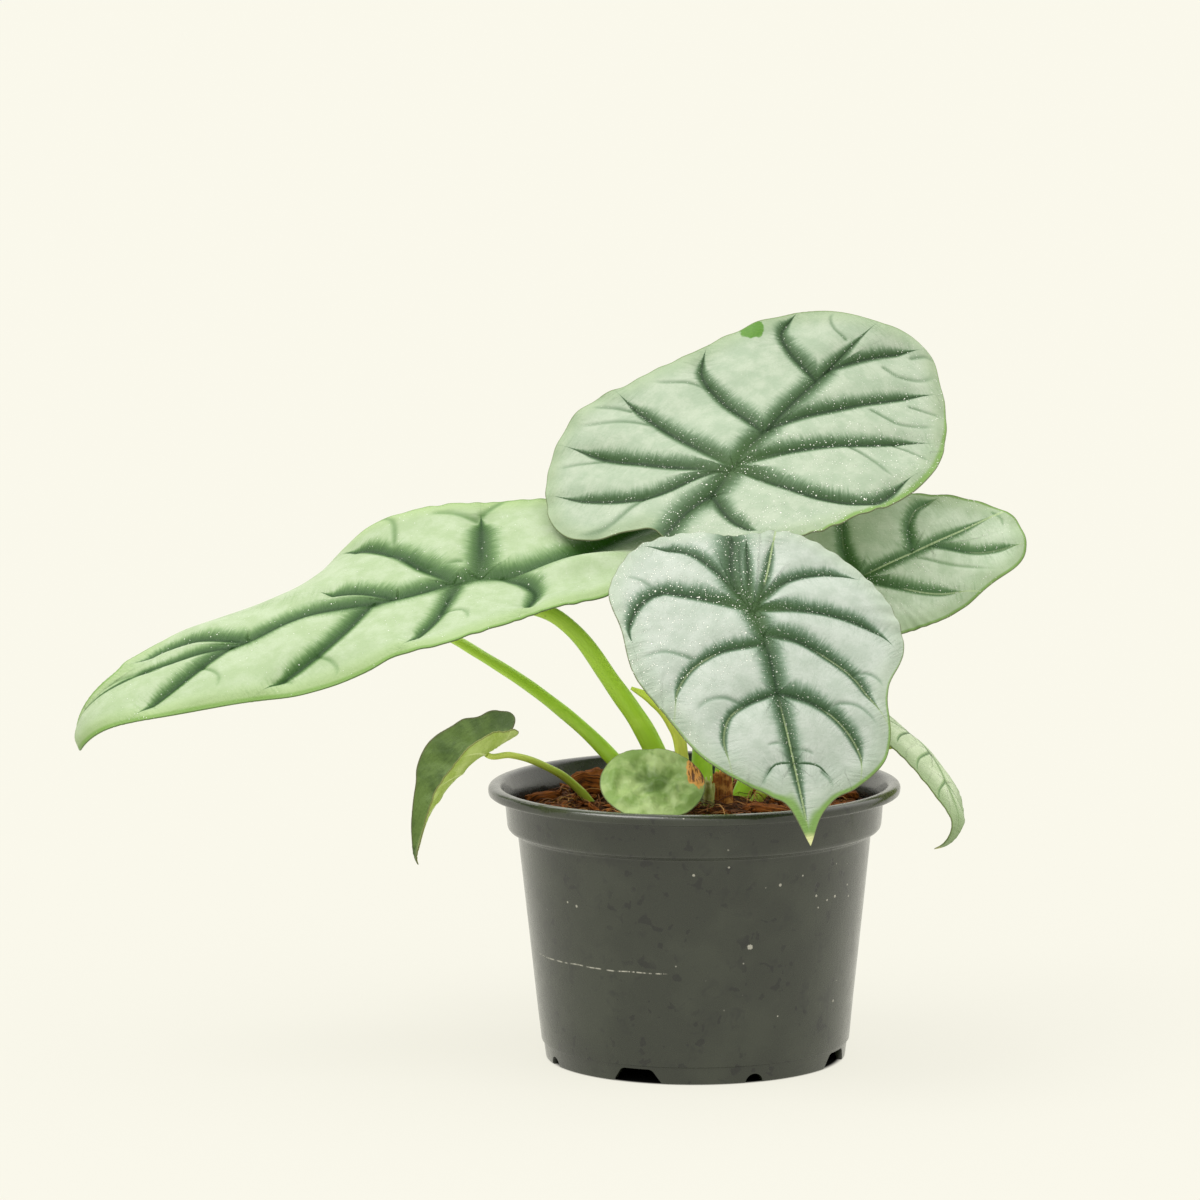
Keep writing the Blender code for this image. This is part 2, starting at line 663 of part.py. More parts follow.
def build_sheath(name, parts, material):
    """Build a thin curled strip standing at the crown."""
    centre, radius, height, first, sweep, flare = SHEATHS[name]
    shape = bmesh.new()
    bmesh.ops.create_grid(shape, x_segments=SHEATH_COLUMNS, y_segments=SHEATH_ROWS,
                           size=1.0)
    for vertex in shape.verts:
        turn = math.radians(first + sweep * (vertex.co.x + 1.0) / 2.0)
        share = (vertex.co.y + 1.0) / 2.0
        edge = 1.0 - abs(vertex.co.x) ** 3 * 0.35
        rise = height * share * edge
        out = radius * (1.0 + flare * share) + 0.5 * math.sin(3.0 * turn) * share
        x = centre[0] + out * math.cos(turn)
        y = centre[1] + out * math.sin(turn)
        foot = mound_height(math.hypot(x, y)) + SEAT_GAP + SHEATH_THICKNESS * 0.3
        vertex.co = Vector((x, y, foot + rise)) * MM
    bmesh.ops.recalc_face_normals(shape, faces=shape.faces)
    mesh = bpy.data.meshes.new(name)
    shape.to_mesh(mesh)
    shape.free()
    item = mesh_object(name, mesh, parts, material)
    thick = item.modifiers.new("thickness", "SOLIDIFY")
    thick.thickness = SHEATH_THICKNESS * MM
    thick.offset = 0.0
    return apply_modifiers(item)


def build_chip(index, parts):
    """Build one piece of husk whose underside follows the mound."""
    place, length, width, thickness, turn = HUSK_CHIPS[index]
    name = f"husk_chip_{index + 1:02d}"
    angle = math.radians(turn)
    shape = bmesh.new()
    bmesh.ops.create_cone(shape, cap_ends=True, segments=7, radius1=1.0, radius2=0.82,
                          depth=1.0)
    for vertex in shape.verts:
        along = vertex.co.x * length / 2.0
        side = vertex.co.y * width / 2.0 * (1.0 + 0.22 * math.sin(5.0 * vertex.co.x + index))
        x = place[0] + along * math.cos(angle) - side * math.sin(angle)
        y = place[1] + along * math.sin(angle) + side * math.cos(angle)
        level = mound_height(math.hypot(x, y)) + CHIP_GAP
        lift = thickness * (1.0 + 0.15 * math.cos(3.0 * along + index))
        top = level + lift if vertex.co.z > 0 else level
        vertex.co = Vector((x, y, top)) * MM
    bmesh.ops.triangulate(shape, faces=shape.faces)
    bmesh.ops.recalc_face_normals(shape, faces=shape.faces)
    mesh = bpy.data.meshes.new(name)
    shape.to_mesh(mesh)
    shape.free()
    return mesh_object(name, mesh, parts, "husk")


def main():
    """Build every piece of the plant and its pot."""
    clear_scene()
    parts = make_collection("potted_alocasia")
    cutters = make_collection("cutters")

    build_pot(parts, cutters)
    mix = build_mix(parts)
    crown = build_crown("crown", 0.0, parts, "crown")

    sockets = []
    for key in BLADES:
        build_blade(key, parts)
        build_petiole(key, 0.0, parts, "petiole_green")
        sockets.append(as_cutter(build_petiole(key, SOCKET_GAP, cutters)))
    tube("new_shoot", NEW_SHOOT, NEW_SHOOT_RADII, parts, "shoot_green")
    grown = [radius + SOCKET_GAP for radius in NEW_SHOOT_RADII]
    deeper = ((*NEW_SHOOT[0][:2], NEW_SHOOT[0][2] - SOCKET_GAP),) + NEW_SHOOT[1:]
    sockets.append(as_cutter(tube("socket_new_shoot", deeper, grown, cutters)))

    crown_hole = as_cutter(build_crown("crown_hole", SEAT_GAP, cutters))
    cut(mix, [crown_hole] + sockets)
    cut(crown, sockets)
    for name in SHEATHS:
        material = "shoot_green" if name == "pale_sheath" else "dry_leaf"
        sheath = build_sheath(name, parts, material)
        cut(sheath, [crown_hole] + sockets)
    for index in range(len(HUSK_CHIPS)):
        build_chip(index, parts)


main()
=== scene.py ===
"""Looks of a potted alocasia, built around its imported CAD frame.

Every length in the tables below is in millimetres and every angle in degrees; meshes are
written in metres, in the same frame as the CAD. Each sub-assembly is a class that holds its
sizes and builds its meshes, and each finish is a small frozen class that makes a material.
"""

import logging
import math
from collections.abc import Callable
from dataclasses import dataclass, field
from enum import Enum

import bmesh
import bpy
import numpy as np
from mathutils import Matrix, Vector, noise


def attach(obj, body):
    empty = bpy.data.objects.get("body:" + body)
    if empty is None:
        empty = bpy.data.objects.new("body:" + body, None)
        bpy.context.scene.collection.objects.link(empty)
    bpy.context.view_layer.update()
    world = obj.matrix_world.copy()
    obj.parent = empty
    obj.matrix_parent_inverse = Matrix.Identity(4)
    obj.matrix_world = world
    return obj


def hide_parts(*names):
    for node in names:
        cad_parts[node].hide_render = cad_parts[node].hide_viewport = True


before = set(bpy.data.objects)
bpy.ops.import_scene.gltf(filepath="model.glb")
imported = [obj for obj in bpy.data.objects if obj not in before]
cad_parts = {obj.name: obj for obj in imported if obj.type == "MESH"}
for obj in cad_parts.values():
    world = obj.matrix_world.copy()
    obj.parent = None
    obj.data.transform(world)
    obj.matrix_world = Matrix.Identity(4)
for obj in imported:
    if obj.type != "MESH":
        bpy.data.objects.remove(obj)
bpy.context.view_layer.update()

MM = 0.001
STUDIO_LIGHT = 2.0
BODY = "root"
LOG = logging.getLogger("potted_alocasia")

Colour = tuple[float, float, float]
Point = tuple[float, float, float]
FlatPoint = tuple[float, float]
Array = np.ndarray
Paint = bpy.types.Material
Item = bpy.types.Object
Mesh = bpy.types.Mesh
Node = bpy.types.Node
Shape = bmesh.types.BMesh


class Slot(Enum):
    """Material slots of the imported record."""

    POT = "pot_plastic"
    MIX = "potting_mix"
    HUSK = "husk"
    CROWN = "crown"
    SILVER = "blade_silver"
    GREEN = "blade_green"
    STALK = "petiole_green"
    SHOOT = "shoot_green"
    DRY = "dry_leaf"


class Face(Enum):
    """The two faces of a leaf blade, with the sign of their side."""

    UPPER = 1
    LOWER = -1


# ---------------------------------------------------------------- colours and shader maths


def srgb(code: str) -> Colour:
    """Return the linear colour of a screen colour, given as six hexadecimal digits."""
    parts = (int(code[index:index + 2], 16) / 255.0 for index in (0, 2, 4))
    return tuple(((c + 0.055) / 1.055) ** 2.4 if c > 0.04 else c / 12.92 for c in parts)


def seen(text: str) -> Colour:
    """Return the base colour that shows as a screen colour under the studio's light.

    Args:
        text: Six hexadecimal digits, then a slash and how strong the light is on this
            surface where that isn't STUDIO_LIGHT.

    Returns:
        The linear base colour.
    """
    code, _, light = text.partition("/")
    return tuple(part / float(light or STUDIO_LIGHT) for part in srgb(code))


class Wire:
    """An output socket that takes part in Python expressions."""

    def __init__(self, graph: "Graph", socket: bpy.types.NodeSocket) -> None:
        """Keep the socket and the graph that it belongs to."""
        self.graph = graph
        self.socket = socket

    def __add__(self, other: "Value") -> "Wire":
        """Return the sum."""
        return self.graph.maths("ADD", self, other)

    def __sub__(self, other: "Value") -> "Wire":
        """Return the difference."""
        return self.graph.maths("SUBTRACT", self, other)

    def __rsub__(self, other: "Value") -> "Wire":
        """Return the difference from a value on the left."""
        return self.graph.maths("SUBTRACT", other, self)

    def __mul__(self, other: "Value") -> "Wire":
        """Return the product."""
        return self.graph.maths("MULTIPLY", self, other)

    def __truediv__(self, other: "Value") -> "Wire":
        """Return the quotient."""
        return self.graph.maths("DIVIDE", self, other)

    def __pow__(self, other: "Value") -> "Wire":
        """Return the power."""
        return self.graph.maths("POWER", self, other)

    def __abs__(self) -> "Wire":
        """Return the absolute value."""
        return self.graph.maths("ABSOLUTE", self)

    __radd__ = __add__
    __rmul__ = __mul__

    def above(self, low: float, high: float) -> "Wire":
        """Return a smooth step that rises from 0 at low to 1 at high."""
        return self.graph.step(self, low, high, 0.0, 1.0)

    def below(self, low: float, high: float) -> "Wire":
        """Return a smooth step that falls from 1 at low to 0 at high."""
        return self.graph.step(self, low, high, 1.0, 0.0)

    def most(self, other: "Value") -> "Wire":
        """Return the larger of two values."""
        return self.graph.maths("MAXIMUM", self, other)

    def least(self, other: "Value") -> "Wire":
        """Return the smaller of two values."""
        return self.graph.maths("MINIMUM", self, other)


Value = Wire | float


class Graph:
    """The node tree of one material or of the world."""

    def __init__(self, tree: bpy.types.NodeTree) -> None:
        """Empty a node tree and keep it."""
        tree.nodes.clear()
        self.tree = tree

    def node(self, kind: str, settings: dict | None = None,
             values: dict | None = None) -> Node:
        """Add a node, make its settings, then feed its sockets.

        Args:
            kind: The node's type name without its ShaderNode prefix.
            settings: Attributes of the node.
            values: Wires or constants by input name or number.

        Returns:
            The new node.
        """
        made = self.tree.nodes.new("ShaderNode" + kind)
        for key, value in (settings or {}).items():
            setattr(made, key, value)
        for key, value in (values or {}).items():
            if isinstance(value, Wire):
                self.tree.links.new(value.socket, made.inputs[key])
            elif isinstance(value, tuple) and made.inputs[key].type == "RGBA":
                made.inputs[key].default_value = (*value, 1.0)
            else:
                made.inputs[key].default_value = value
        return made

    def wire(self, made: Node, output: int | str = 0) -> Wire:
        """Return an output of a node as a wire."""
        return Wire(self, made.outputs[output])

    def maths(self, operation: str, *values: Value) -> Wire:
        """Return the result of a Math node on wires or constants."""
        fed = dict(enumerate(values))
        return self.wire(self.node("Math", {"operation": operation}, fed))

    def step(self, value: Wire, low: float, high: float, start: float, end: float) -> Wire:
        """Return a smooth step from one value to another between two limits."""
        fed = {0: value, 1: low, 2: high, 3: start, 4: end}
        return self.wire(self.node("MapRange", {"interpolation_type": "SMOOTHSTEP"}, fed))

    def mix(self, share: Value, first: Wire | Colour | str,
            second: Wire | Colour | str) -> Wire:
        """Return a colour between two, each a wire, a linear colour or a screen colour."""
        first, second = (seen(part) if isinstance(part, str) else part
                         for part in (first, second))
        return self.wire(self.node("Mix", {"data_type": "RGBA"},
                                   {0: share, 6: first, 7: second}), 2)

    def join(self, x: Value, y: Value, z: Value = 0.0) -> Wire:
        """Return a vector made of three values."""
        return self.wire(self.node("CombineXYZ", {}, {0: x, 1: y, 2: z}))

    def split(self, vector: Wire) -> tuple[Wire, Wire, Wire]:
        """Return the three values of a vector."""
        made = self.node("SeparateXYZ", {}, {0: vector})
        return self.wire(made, 0), self.wire(made, 1), self.wire(made, 2)

    def fields(self, name: str) -> tuple[Wire, Wire, Wire]:
        """Return the three values that a mesh stores in one of its attributes."""
        stored = self.node("Attribute", {"attribute_name": name})
        return self.split(self.wire(stored, "Vector"))

    def gap(self, place: Wire, centre: FlatPoint) -> Wire:
        """Return the distance of flat places from a point."""
        made = self.node("VectorMath", {"operation": "DISTANCE"}, {0: place, 1: (*centre, 0.0)})
        return self.wire(made, "Value")

    def place(self, stretch: Point = (1.0, 1.0, 1.0)) -> Wire:
        """Return object coordinates in millimetres, stretched along each axis."""
        source = self.wire(self.node("TexCoord"), "Object")
        return self.stretch(source, tuple(part / MM for part in stretch))

    def stretch(self, vector: Wire, scale: Point) -> Wire:
        """Return a vector scaled along each axis."""
        return self.wire(self.node("Mapping", {}, {"Vector": vector, "Scale": scale}))

    def noise(self, place: Wire, scale: float, detail: float = 2.0,
              rough: float = 0.55, warp: float = 0.0) -> Wire:
        """Return a noise value around 0.5.

        Args:
            place: Where the noise is read.
            scale: Waves per unit of place.
            detail: Octaves.
            rough: Weight of the finer octaves.
            warp: Distortion.

        Returns:
            The noise value.
        """
        fed = {"Vector": place, "Scale": scale, "Detail": detail, "Roughness": rough,
               "Distortion": warp}
        return self.wire(self.node("TexNoise", {}, fed))

    def cells(self, place: Wire, scale: float, feature: str = "F1") -> Node:
        """Return a Voronoi node read at a place."""
        return self.node("TexVoronoi", {"feature": feature},
                         {"Vector": place, "Scale": scale})

    def specks(self, place: Wire, scale: float, size: float, share: float) -> Wire:
        """Return a mask of scattered small dots.

        Args:
            place: Where the dots are laid.
            scale: Cells per unit of place.
            size: Radius of a dot in cells.
            share: Share of the cells that hold a dot.

        Returns:
            A mask that is 1 in the dots.
        """
        cells = self.cells(place, scale)
        pick, reach, _ = self.split(self.wire(cells, "Color"))
        near = self.wire(cells, "Distance") / (0.4 + reach)
        return near.below(size * 0.6, size) * pick.below(share, share + 0.01)


class Material:
    """A material with one Principled shader, fed at the end of its making."""

    def __init__(self, name: str) -> None:
        """Start an empty material."""
        self.material = bpy.data.materials.new(name)
        self.material.use_nodes = True
        self.graph = Graph(self.material.node_tree)

    def finish(self, colour: Wire | Colour, rough: Value, height: Wire | None = None,
               depth: float = 0.0001, **constants: float) -> Paint:
        """Wire the shader and return the material.

        Args:
            colour: Base colour.
            rough: Roughness.
            height: Height for the bump, from 0 to 1.
            depth: Depth of the bump, in metres.
            constants: Other sockets of the shader, with _ for a space.

        Returns:
            The finished material.
        """
        fed = {"Base Color": colour, "Roughness": rough}
        if height is not None:
            bump = self.graph.node("Bump", {}, {"Strength": 1.0, "Distance": depth,
                                                "Height": height})
            fed["Normal"] = self.graph.wire(bump)
        for key, value in constants.items():
            fed[key.replace("_", " ")] = value
        shader = self.graph.node("BsdfPrincipled", {}, fed)
        self.graph.node("OutputMaterial", {}, {"Surface": self.graph.wire(shader)})
        return self.material


# ---------------------------------------------------------------- mesh helpers


Place = Callable[[Array, Array], Array]


def wrapped_grid(columns: int, rows: int, place: Place) -> Shape:
    """Return a grid laid on a surface, with its seams and poles merged.

    Args:
        columns: Cells along the first share.
        rows: Cells along the second share.
        place: Turns two arrays of shares from 0 to 1 into points in millimetres.

    Returns:
        The mesh in metres, with its faces turned outwards.
    """
    shape = bmesh.new()
    bmesh.ops.create_grid(shape, x_segments=columns, y_segments=rows, size=1.0)
    shares = np.array([vertex.co[:2] for vertex in shape.verts]) * 0.5 + 0.5
    for vertex, point in zip(shape.verts, place(shares[:, 0], shares[:, 1]) * MM):
        vertex.co = point
    bmesh.ops.remove_doubles(shape, verts=shape.verts, dist=0.000002)
    bmesh.ops.recalc_face_normals(shape, faces=shape.faces)
    return shape


def link(name: str, data: bpy.types.ID) -> Item:
    """Put data in the scene as a new object of that name."""
    item = bpy.data.objects.new(name, data)
    bpy.context.scene.collection.objects.link(item)
    return item


def write_mesh(shape: Shape, name: str) -> Mesh:
    """Turn a bmesh into a mesh and free it."""
    mesh = bpy.data.meshes.new(name)
    shape.to_mesh(mesh)
    shape.free()
    return mesh


def read_points(mesh: Mesh) -> Array:
    """Return a mesh's points in millimetres."""
    points = np.empty((len(mesh.vertices), 3))
    mesh.vertices.foreach_get("co", points.ravel())
    return points / MM


def write_points(mesh: Mesh, points: Array) -> None:
    """Move a mesh's points to places in millimetres."""
    mesh.vertices.foreach_set("co", (points * MM).ravel())
    mesh.update()


def write_attribute(mesh: Mesh, name: str, *columns: Array) -> None:
    """Store three values per point as a vector attribute.

    Args:
        mesh: The mesh.
        name: The attribute's name.
        columns: Up to three arrays with one value per point.
    """
    values = np.zeros((len(mesh.vertices), 3))
    for index, column in enumerate(columns):
        values[:, index] = column
    layer = mesh.attributes.new(name, "FLOAT_VECTOR", "POINT")
    layer.data.foreach_set("vector", values.ravel())


def add_piece(name: str, mesh: Mesh, slot: Slot, nodes: tuple[str, ...],
              *materials: Paint) -> Item:
    """Make a mesh a piece of the plant that rides on the CAD body.

    Args:
        name: The piece's name.
        mesh: Its mesh, in place.
        slot: The material slot of the record that it belongs to; not used.
        nodes: The CAD nodes that it replaces.
        materials: Its materials, in the order of their indices.

    Returns:
        The object.
    """
    item = link(name, mesh)
    for material in materials:
        mesh.materials.append(material)
    mesh.polygons.foreach_set("use_smooth", [True] * len(mesh.polygons))
    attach(item, BODY)
    if nodes:
        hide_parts(*nodes)
    faces = sum(len(face.vertices) - 2 for face in mesh.polygons)
    LOG.info("%s: %d triangles, in place of %s", name, faces, ", ".join(nodes) or "nothing")
    return item


def unit(vectors: Array) -> Array:
    """Return vectors, one or a row each, scaled to a length of 1."""
    return vectors / np.linalg.norm(vectors, axis=-1, keepdims=True)


def turned(along: Array, side: Array, angle: Array | float) -> tuple[Array, Array]:
    """Return flat places turned about the origin."""
    return (along * np.cos(angle) - side * np.sin(angle),
            along * np.sin(angle) + side * np.cos(angle))


def stations_of(points: Array) -> Array:
    """Return how far along a line each of its points lies."""
    lengths = np.linalg.norm(np.diff(points, axis=0), axis=1)
    return np.concatenate(([0.0], np.cumsum(lengths)))


def smooth_share(share: Array) -> Array:
    """Ease shares from 0 to 1."""
    share = np.clip(share, 0.0, 1.0)
    return share * share * (3.0 - 2.0 * share)


WAVES = 7
WAVE_HEIGHT = 3.2


def waves(seed: int, length: float, *axes: Array) -> Array:
    """Return a smooth random surface between about -1 and 1.

    Args:
        seed: Seed of the random directions.
        length: Typical wavelength, in the unit of the axes.
        axes: Coordinates that the surface is read at.

    Returns:
        One value per point.
    """
    dice = np.random.default_rng(seed)
    total = np.zeros_like(axes[0])
    for _ in range(WAVES):
        way = dice.normal(size=len(axes))
        way *= 2.0 * math.pi / (length * dice.uniform(0.7, 1.6)) / np.linalg.norm(way)
        phase = dice.uniform(0.0, 2.0 * math.pi)
        total += np.sin(sum(w * axis for w, axis in zip(way, axes)) + phase)
    return total / WAVE_HEIGHT


def turbulence(points: Array, scale: float, octaves: int = 3) -> Array:
    """Return fractal noise between about -1 and 1 at points in millimetres."""
    return np.array([noise.fractal(Vector(point) * scale, 0.9, 2.1, octaves)
                     for point in points])


def smooth_curve(stations: Array, values: Array, position: Array) -> Array:
    """Return values between given ones, on cubic stretches with shared slopes.

    Args:
        stations: Where the values are set.
        values: The given values.
        position: Where values are wanted.

    Returns:
        One value per position.
    """
    widths = np.diff(stations)
    slopes = np.diff(values) / widths
    tangent = np.empty(len(values))
    tangent[1:-1] = slopes[:-1] * widths[1:] + slopes[1:] * widths[:-1]
    tangent[1:-1] /= widths[1:] + widths[:-1]
    tangent[[0, -1]] = slopes[[0, -1]]
    index = np.clip(np.searchsorted(stations, position, side="right") - 1, 0,
                    len(values) - 2)
    width = widths[index]
    t = (position - stations[index]) / width
    return ((2 * t ** 3 - 3 * t ** 2 + 1) * values[index]
            + (t ** 3 - 2 * t ** 2 + t) * width * tangent[index]
            + (3 * t ** 2 - 2 * t ** 3) * values[index + 1]
            + (t ** 3 - t ** 2) * width * tangent[index + 1])


def smooth_line(points: Array, spacing: float) -> Array:
    """Return a line through points, rounded and evenly spaced.

    Args:
        points: The points, in any number of dimensions.
        spacing: Distance between the new points.

    Returns:
        The new points.
    """
    stations = stations_of(points)
    count = max(2, int(stations[-1] / spacing) + 1)
    where = np.linspace(0.0, stations[-1], count)
    if len(points) == 2:
        return np.stack([np.interp(where, stations, column) for column in points.T], -1)
    return np.stack([smooth_curve(stations, column, where) for column in points.T], -1)


# ---------------------------------------------------------------- finishes


@dataclass(frozen=True)
class PotPlastic:
    """Dark greenish grey moulded plastic with smudges, scuffs, specks and a long scratch."""

    name: str = "pot_plastic"
    body: str = "343A2B"
    smudge: str = "282D22"
    haze: str = "424838"
    blotch: str = "161A12"
    scratch: str = "E9E6D6"
    roughness: float = 0.27
    arc_radius: float = 62.0
    marked_from: tuple[float, float] = (57.0, 58.5)
    scratch_height: float = 41.9
    scratch_reach: tuple[float, float] = (-72.0, -9.0)
    pale_flecks: tuple[Point, ...] = (
        (18.7, 51.4, 1.0), (43.8, 67.8, 0.5), (49.3, 65.4, 0.4), (53.6, 66.1, 0.6),
        (62.8, 64.6, 0.45), (61.0, 69.2, 0.4), (45.1, 63.2, 0.35), (37.2, 76.2, 0.35),
        (-0.3, 78.8, 0.5), (10.9, 81.5, 0.4), (28.6, 73.7, 0.6), (30.4, 24.4, 0.3),
        (-42.8, 64.3, 0.5), (-47.0, 65.2, 0.4), (31.1, 3.7, 0.5), (58.5, 26.0, 0.5))
    dark_flecks: tuple[Point, ...] = (
        (44.0, 71.8, 1.1), (43.2, 70.0, 0.8), (50.6, 78.7, 0.8), (50.4, 80.3, 0.6),
        (48.8, 83.6, 0.7), (57.7, 73.8, 0.8), (56.0, 74.6, 0.5))

    def flecks(self, graph: Graph, arc: Wire, height: Wire,
               marks: tuple[Point, ...], warp: Wire) -> Wire:
        """Return a mask of listed flecks.

        Args:
            graph: The node tree.
            arc: Distance round the wall.
            height: Height on the wall.
            marks: Angle, height and radius of each fleck.
            warp: Noise that makes their outlines ragged.

        Returns:
            A mask that is 1 inside the flecks.
        """
        spot = graph.join(arc, height)
        mask: Value = 0.0
        for angle, level, radius in marks:
            centre = (math.radians(angle) * self.arc_radius, level)
            near = graph.gap(spot, centre) / radius + warp
            mask = near.below(0.8, 1.1).most(mask)
        return mask

    def make(self) -> Paint:
        """Return the material."""
        made = Material(self.name)
        g = made.graph
        place = g.place()
        x, y, z = g.split(place)
        arc = g.maths("ARCTAN2", x, y * -1.0) * self.arc_radius
        wide = g.noise(place, 0.035, 3.0, 0.6)
        blots = g.noise(place, 0.16, 4.0, 0.62, 0.6)
        grain = g.noise(place, 0.9, 3.0, 0.6)
        colour = g.mix(wide.above(0.42, 0.68), self.body, self.haze)
        colour = g.mix(blots.above(0.56, 0.70) * 0.75, colour, self.smudge)
        spots = g.noise(place, 0.21, 2.0, 0.5, 0.3).above(0.62, 0.65)
        colour = g.mix(spots * wide.below(0.48, 0.6) * 0.8, colour, self.blotch)
        colour = g.mix(grain.above(0.45, 0.8) * 0.25, colour, self.haze)
        ragged = g.noise(g.join(arc, z), 1.4, 2.0) - 0.5
        dark = self.flecks(g, arc, z, self.dark_flecks, ragged)
        colour = g.mix(dark * 0.85, colour, "1B1C18")
        pale = self.flecks(g, arc, z, self.pale_flecks, ragged)
        dust = g.specks(g.join(arc, z), 0.28, 0.10, 0.12) * wide.above(0.45, 0.6)
        low, high = (math.radians(end) * self.arc_radius for end in self.scratch_reach)
        drift = g.noise(g.join(arc, 0.0), 0.05, 1.0) * 1.6 - 0.8
        line = abs(z - self.scratch_height - drift).below(0.10, 0.34)
        dashes = g.noise(g.join(arc, 0.0), 0.35, 3.0, 0.7).above(0.44, 0.54)
        along = arc.above(low, low + 6.0) * arc.below(high - 3.0, high)
        outer = (x * x + y * y).above(*(radius ** 2 for radius in self.marked_from))
        scuffs = g.noise(g.join(arc * 0.09, z * 1.3), 1.0, 5.0, 0.7).above(0.70, 0.76)
        scuffs = scuffs * blots.above(0.5, 0.6) * 0.5
        white = (line * dashes * along).most(pale).most(dust).most(scuffs) * outer
        colour = g.mix(white * 0.85, colour, self.scratch)
        rough = self.roughness + (blots - 0.5) * 0.25 + white * 0.2
        height = grain * 0.5 + white * 0.6 - dark * 0.4 + blots * 0.6
        return made.finish(colour, rough, height, 0.00012, IOR=1.5, Coat_Weight=0.35,
                           Coat_Roughness=0.10)


@dataclass(frozen=True)
class SilverFace:
    """Upper face of a mature leaf: silver, with dark feathered bands along its veins."""

    name: str = "leaf_silver"
    pale: str = "D6E4CC"
    silver: str = "BED2B6"
    green_tint: str = "ABC78E"
    feather: str = "7C9F76"
    dark: str = "345A26"
    deep: str = "193E12"
    hub: str = "446A2E"
    edge: str = "7B6F61"
    rim: str = "8DB85A"
    line: str = "C3DBA0"
    sparkle: float = 0.25
    tint: float = 0.5
    roughness: float = 0.45
    bare_spot: FlatPoint | None = None
    dew_lean: FlatPoint = (0.0, 0.0)
    # glow: a faint green emission, painted light that stands in for light shining through the
    # leaf.
    glow: Colour = (0.0, 0.003, 0.0)

    def make(self) -> Paint:
        """Return the material."""
        made = Material(self.name)
        g = made.graph
        ahead, across, edge = g.fields("leaf_flat")
        mid, lateral, fine = g.fields("leaf_vein")
        mid_band, lateral_band, uphill_shade_side = g.fields("leaf_band")
        along, line, _ = g.fields("leaf_run")
        rim_width, tip, _ = g.fields("leaf_rim")
        spot = g.join(ahead, across)
        far_mid, far_lateral = abs(mid), abs(lateral)
        near = far_mid.least(far_lateral)

        bristles = g.noise(g.join(along * 1.05, near * 0.13), 1.0, 3.0, 0.72)
        mottle = g.noise(spot, 0.11, 4.0, 0.62)
        grain = g.noise(spot, 1.0, 3.0, 0.7)
        # Bands spread wider and feather more on the side of each vein that lies up the blade:
        # painted shade on the valley wall there.
        spread = (1.0 + uphill_shade_side * 0.45) * (1.0 + (bristles - 0.5) * (0.9 + uphill_shade_side * 0.5))
        share_mid = far_mid / (mid_band * (0.55 + bristles * 0.9) + 0.02)
        share_lateral = far_lateral / (lateral_band * spread + 0.02)
        share = share_mid.least(share_lateral)
        soft = share.below(0.5, 1.75)
        core = share.below(0.15, 1.25)
        crease = (far_mid / (mid_band * 0.2 + 0.01)).least(
            far_lateral / (lateral_band * 0.28 + 0.01)).below(0.2, 1.2)
        fringe = (1.0 - (near / 11.0).least(1.0)) * bristles.above(0.44, 0.74) * 0.35
        soft = soft.most(fine * (0.55 + bristles * 0.6)).most(fringe)
        core = core.most(fine * fine * 0.35)

        colour = g.mix(mottle.above(0.35, 0.66), self.silver, self.pale)
        colour = g.mix(grain.above(0.35, 0.75) * 0.35, colour, self.silver)
        close = 1.0 - (near / 8.0).least(1.0)
        colour = g.mix(bristles.above(0.48, 0.72) * close * 0.6, colour, self.silver)
        border = edge.below(0.5, 10.0) * (0.4 + mottle) * self.tint
        colour = g.mix(border.least(1.0), colour, self.green_tint)
        colour = g.mix(soft, colour, self.feather)
        colour = g.mix(core * (0.86 + grain * 0.2), colour, self.dark)
        colour = g.mix(crease * core * 0.85, colour, self.deep)
        middle = (ahead * ahead + across * across) ** 0.5
        colour = g.mix(core * middle.below(2.0, 24.0) * 0.7, colour, self.hub)
        if self.bare_spot:
            ragged = g.noise(spot, 0.35, 3.0) * 3.4
            bare = (g.gap(spot, self.bare_spot) + ragged).below(6.0, 6.7)
            colour = g.mix(bare, colour, g.mix(grain, "437A1C/1.6", "6FA23A/1.6"))
        ridge = near.below(0.16, 0.5) * line * bristles.above(0.30, 0.5)
        colour = g.mix(ridge.least(1.0) * 0.85, colour, self.line)
        rim = (edge / (rim_width + 0.02)).below(0.55, 1.3)
        colour = g.mix(rim * (0.35 + (rim_width / 2.0).least(0.6)), colour, self.rim)
        colour = g.mix(edge.below(0.12, 0.5) * 0.7 * (1.0 - tip), colour, self.edge)
        colour = g.mix(tip.above(0.35, 0.85), colour, "EDF0AE/1.6")
        lean_ahead, lean_across = self.dew_lean
        patch = g.noise(spot, 0.06, 2.0) + ahead * lean_ahead + across * lean_across
        wet = (patch.above(0.35, 0.75) + soft * 0.4).least(1.0)
        # Dew drops: glossier and raised, and painted near white, which is a painted glint on each
        # drop.
        dew_and_glint = g.specks(spot, 1.15, 0.24, self.sparkle) * wet
        dew_and_glint = dew_and_glint.most(g.specks(spot, 0.42, 0.13, self.sparkle * 0.5) * wet)
        colour = g.mix(dew_and_glint, colour, "F8FBF0/1.1")
        pock = g.specks(g.stretch(spot, (0.9, 1.1, 1.0)), 0.075, 0.045, 0.25)
        colour = g.mix(pock * 0.8, colour, "3E4A30")
        rough = self.roughness - core * 0.06 - dew_and_glint * 0.3 + (grain - 0.5) * 0.2
        height = grain * 0.4 + bristles * close + dew_and_glint * 0.6 + mottle * 0.6
        # The emission is a painted glow that stands in for light passing through the leaf.
        return made.finish(colour, rough, height, 0.0005, Specular_IOR_Level=0.22,
                           Emission_Color=self.glow, Emission_Strength=1.0)


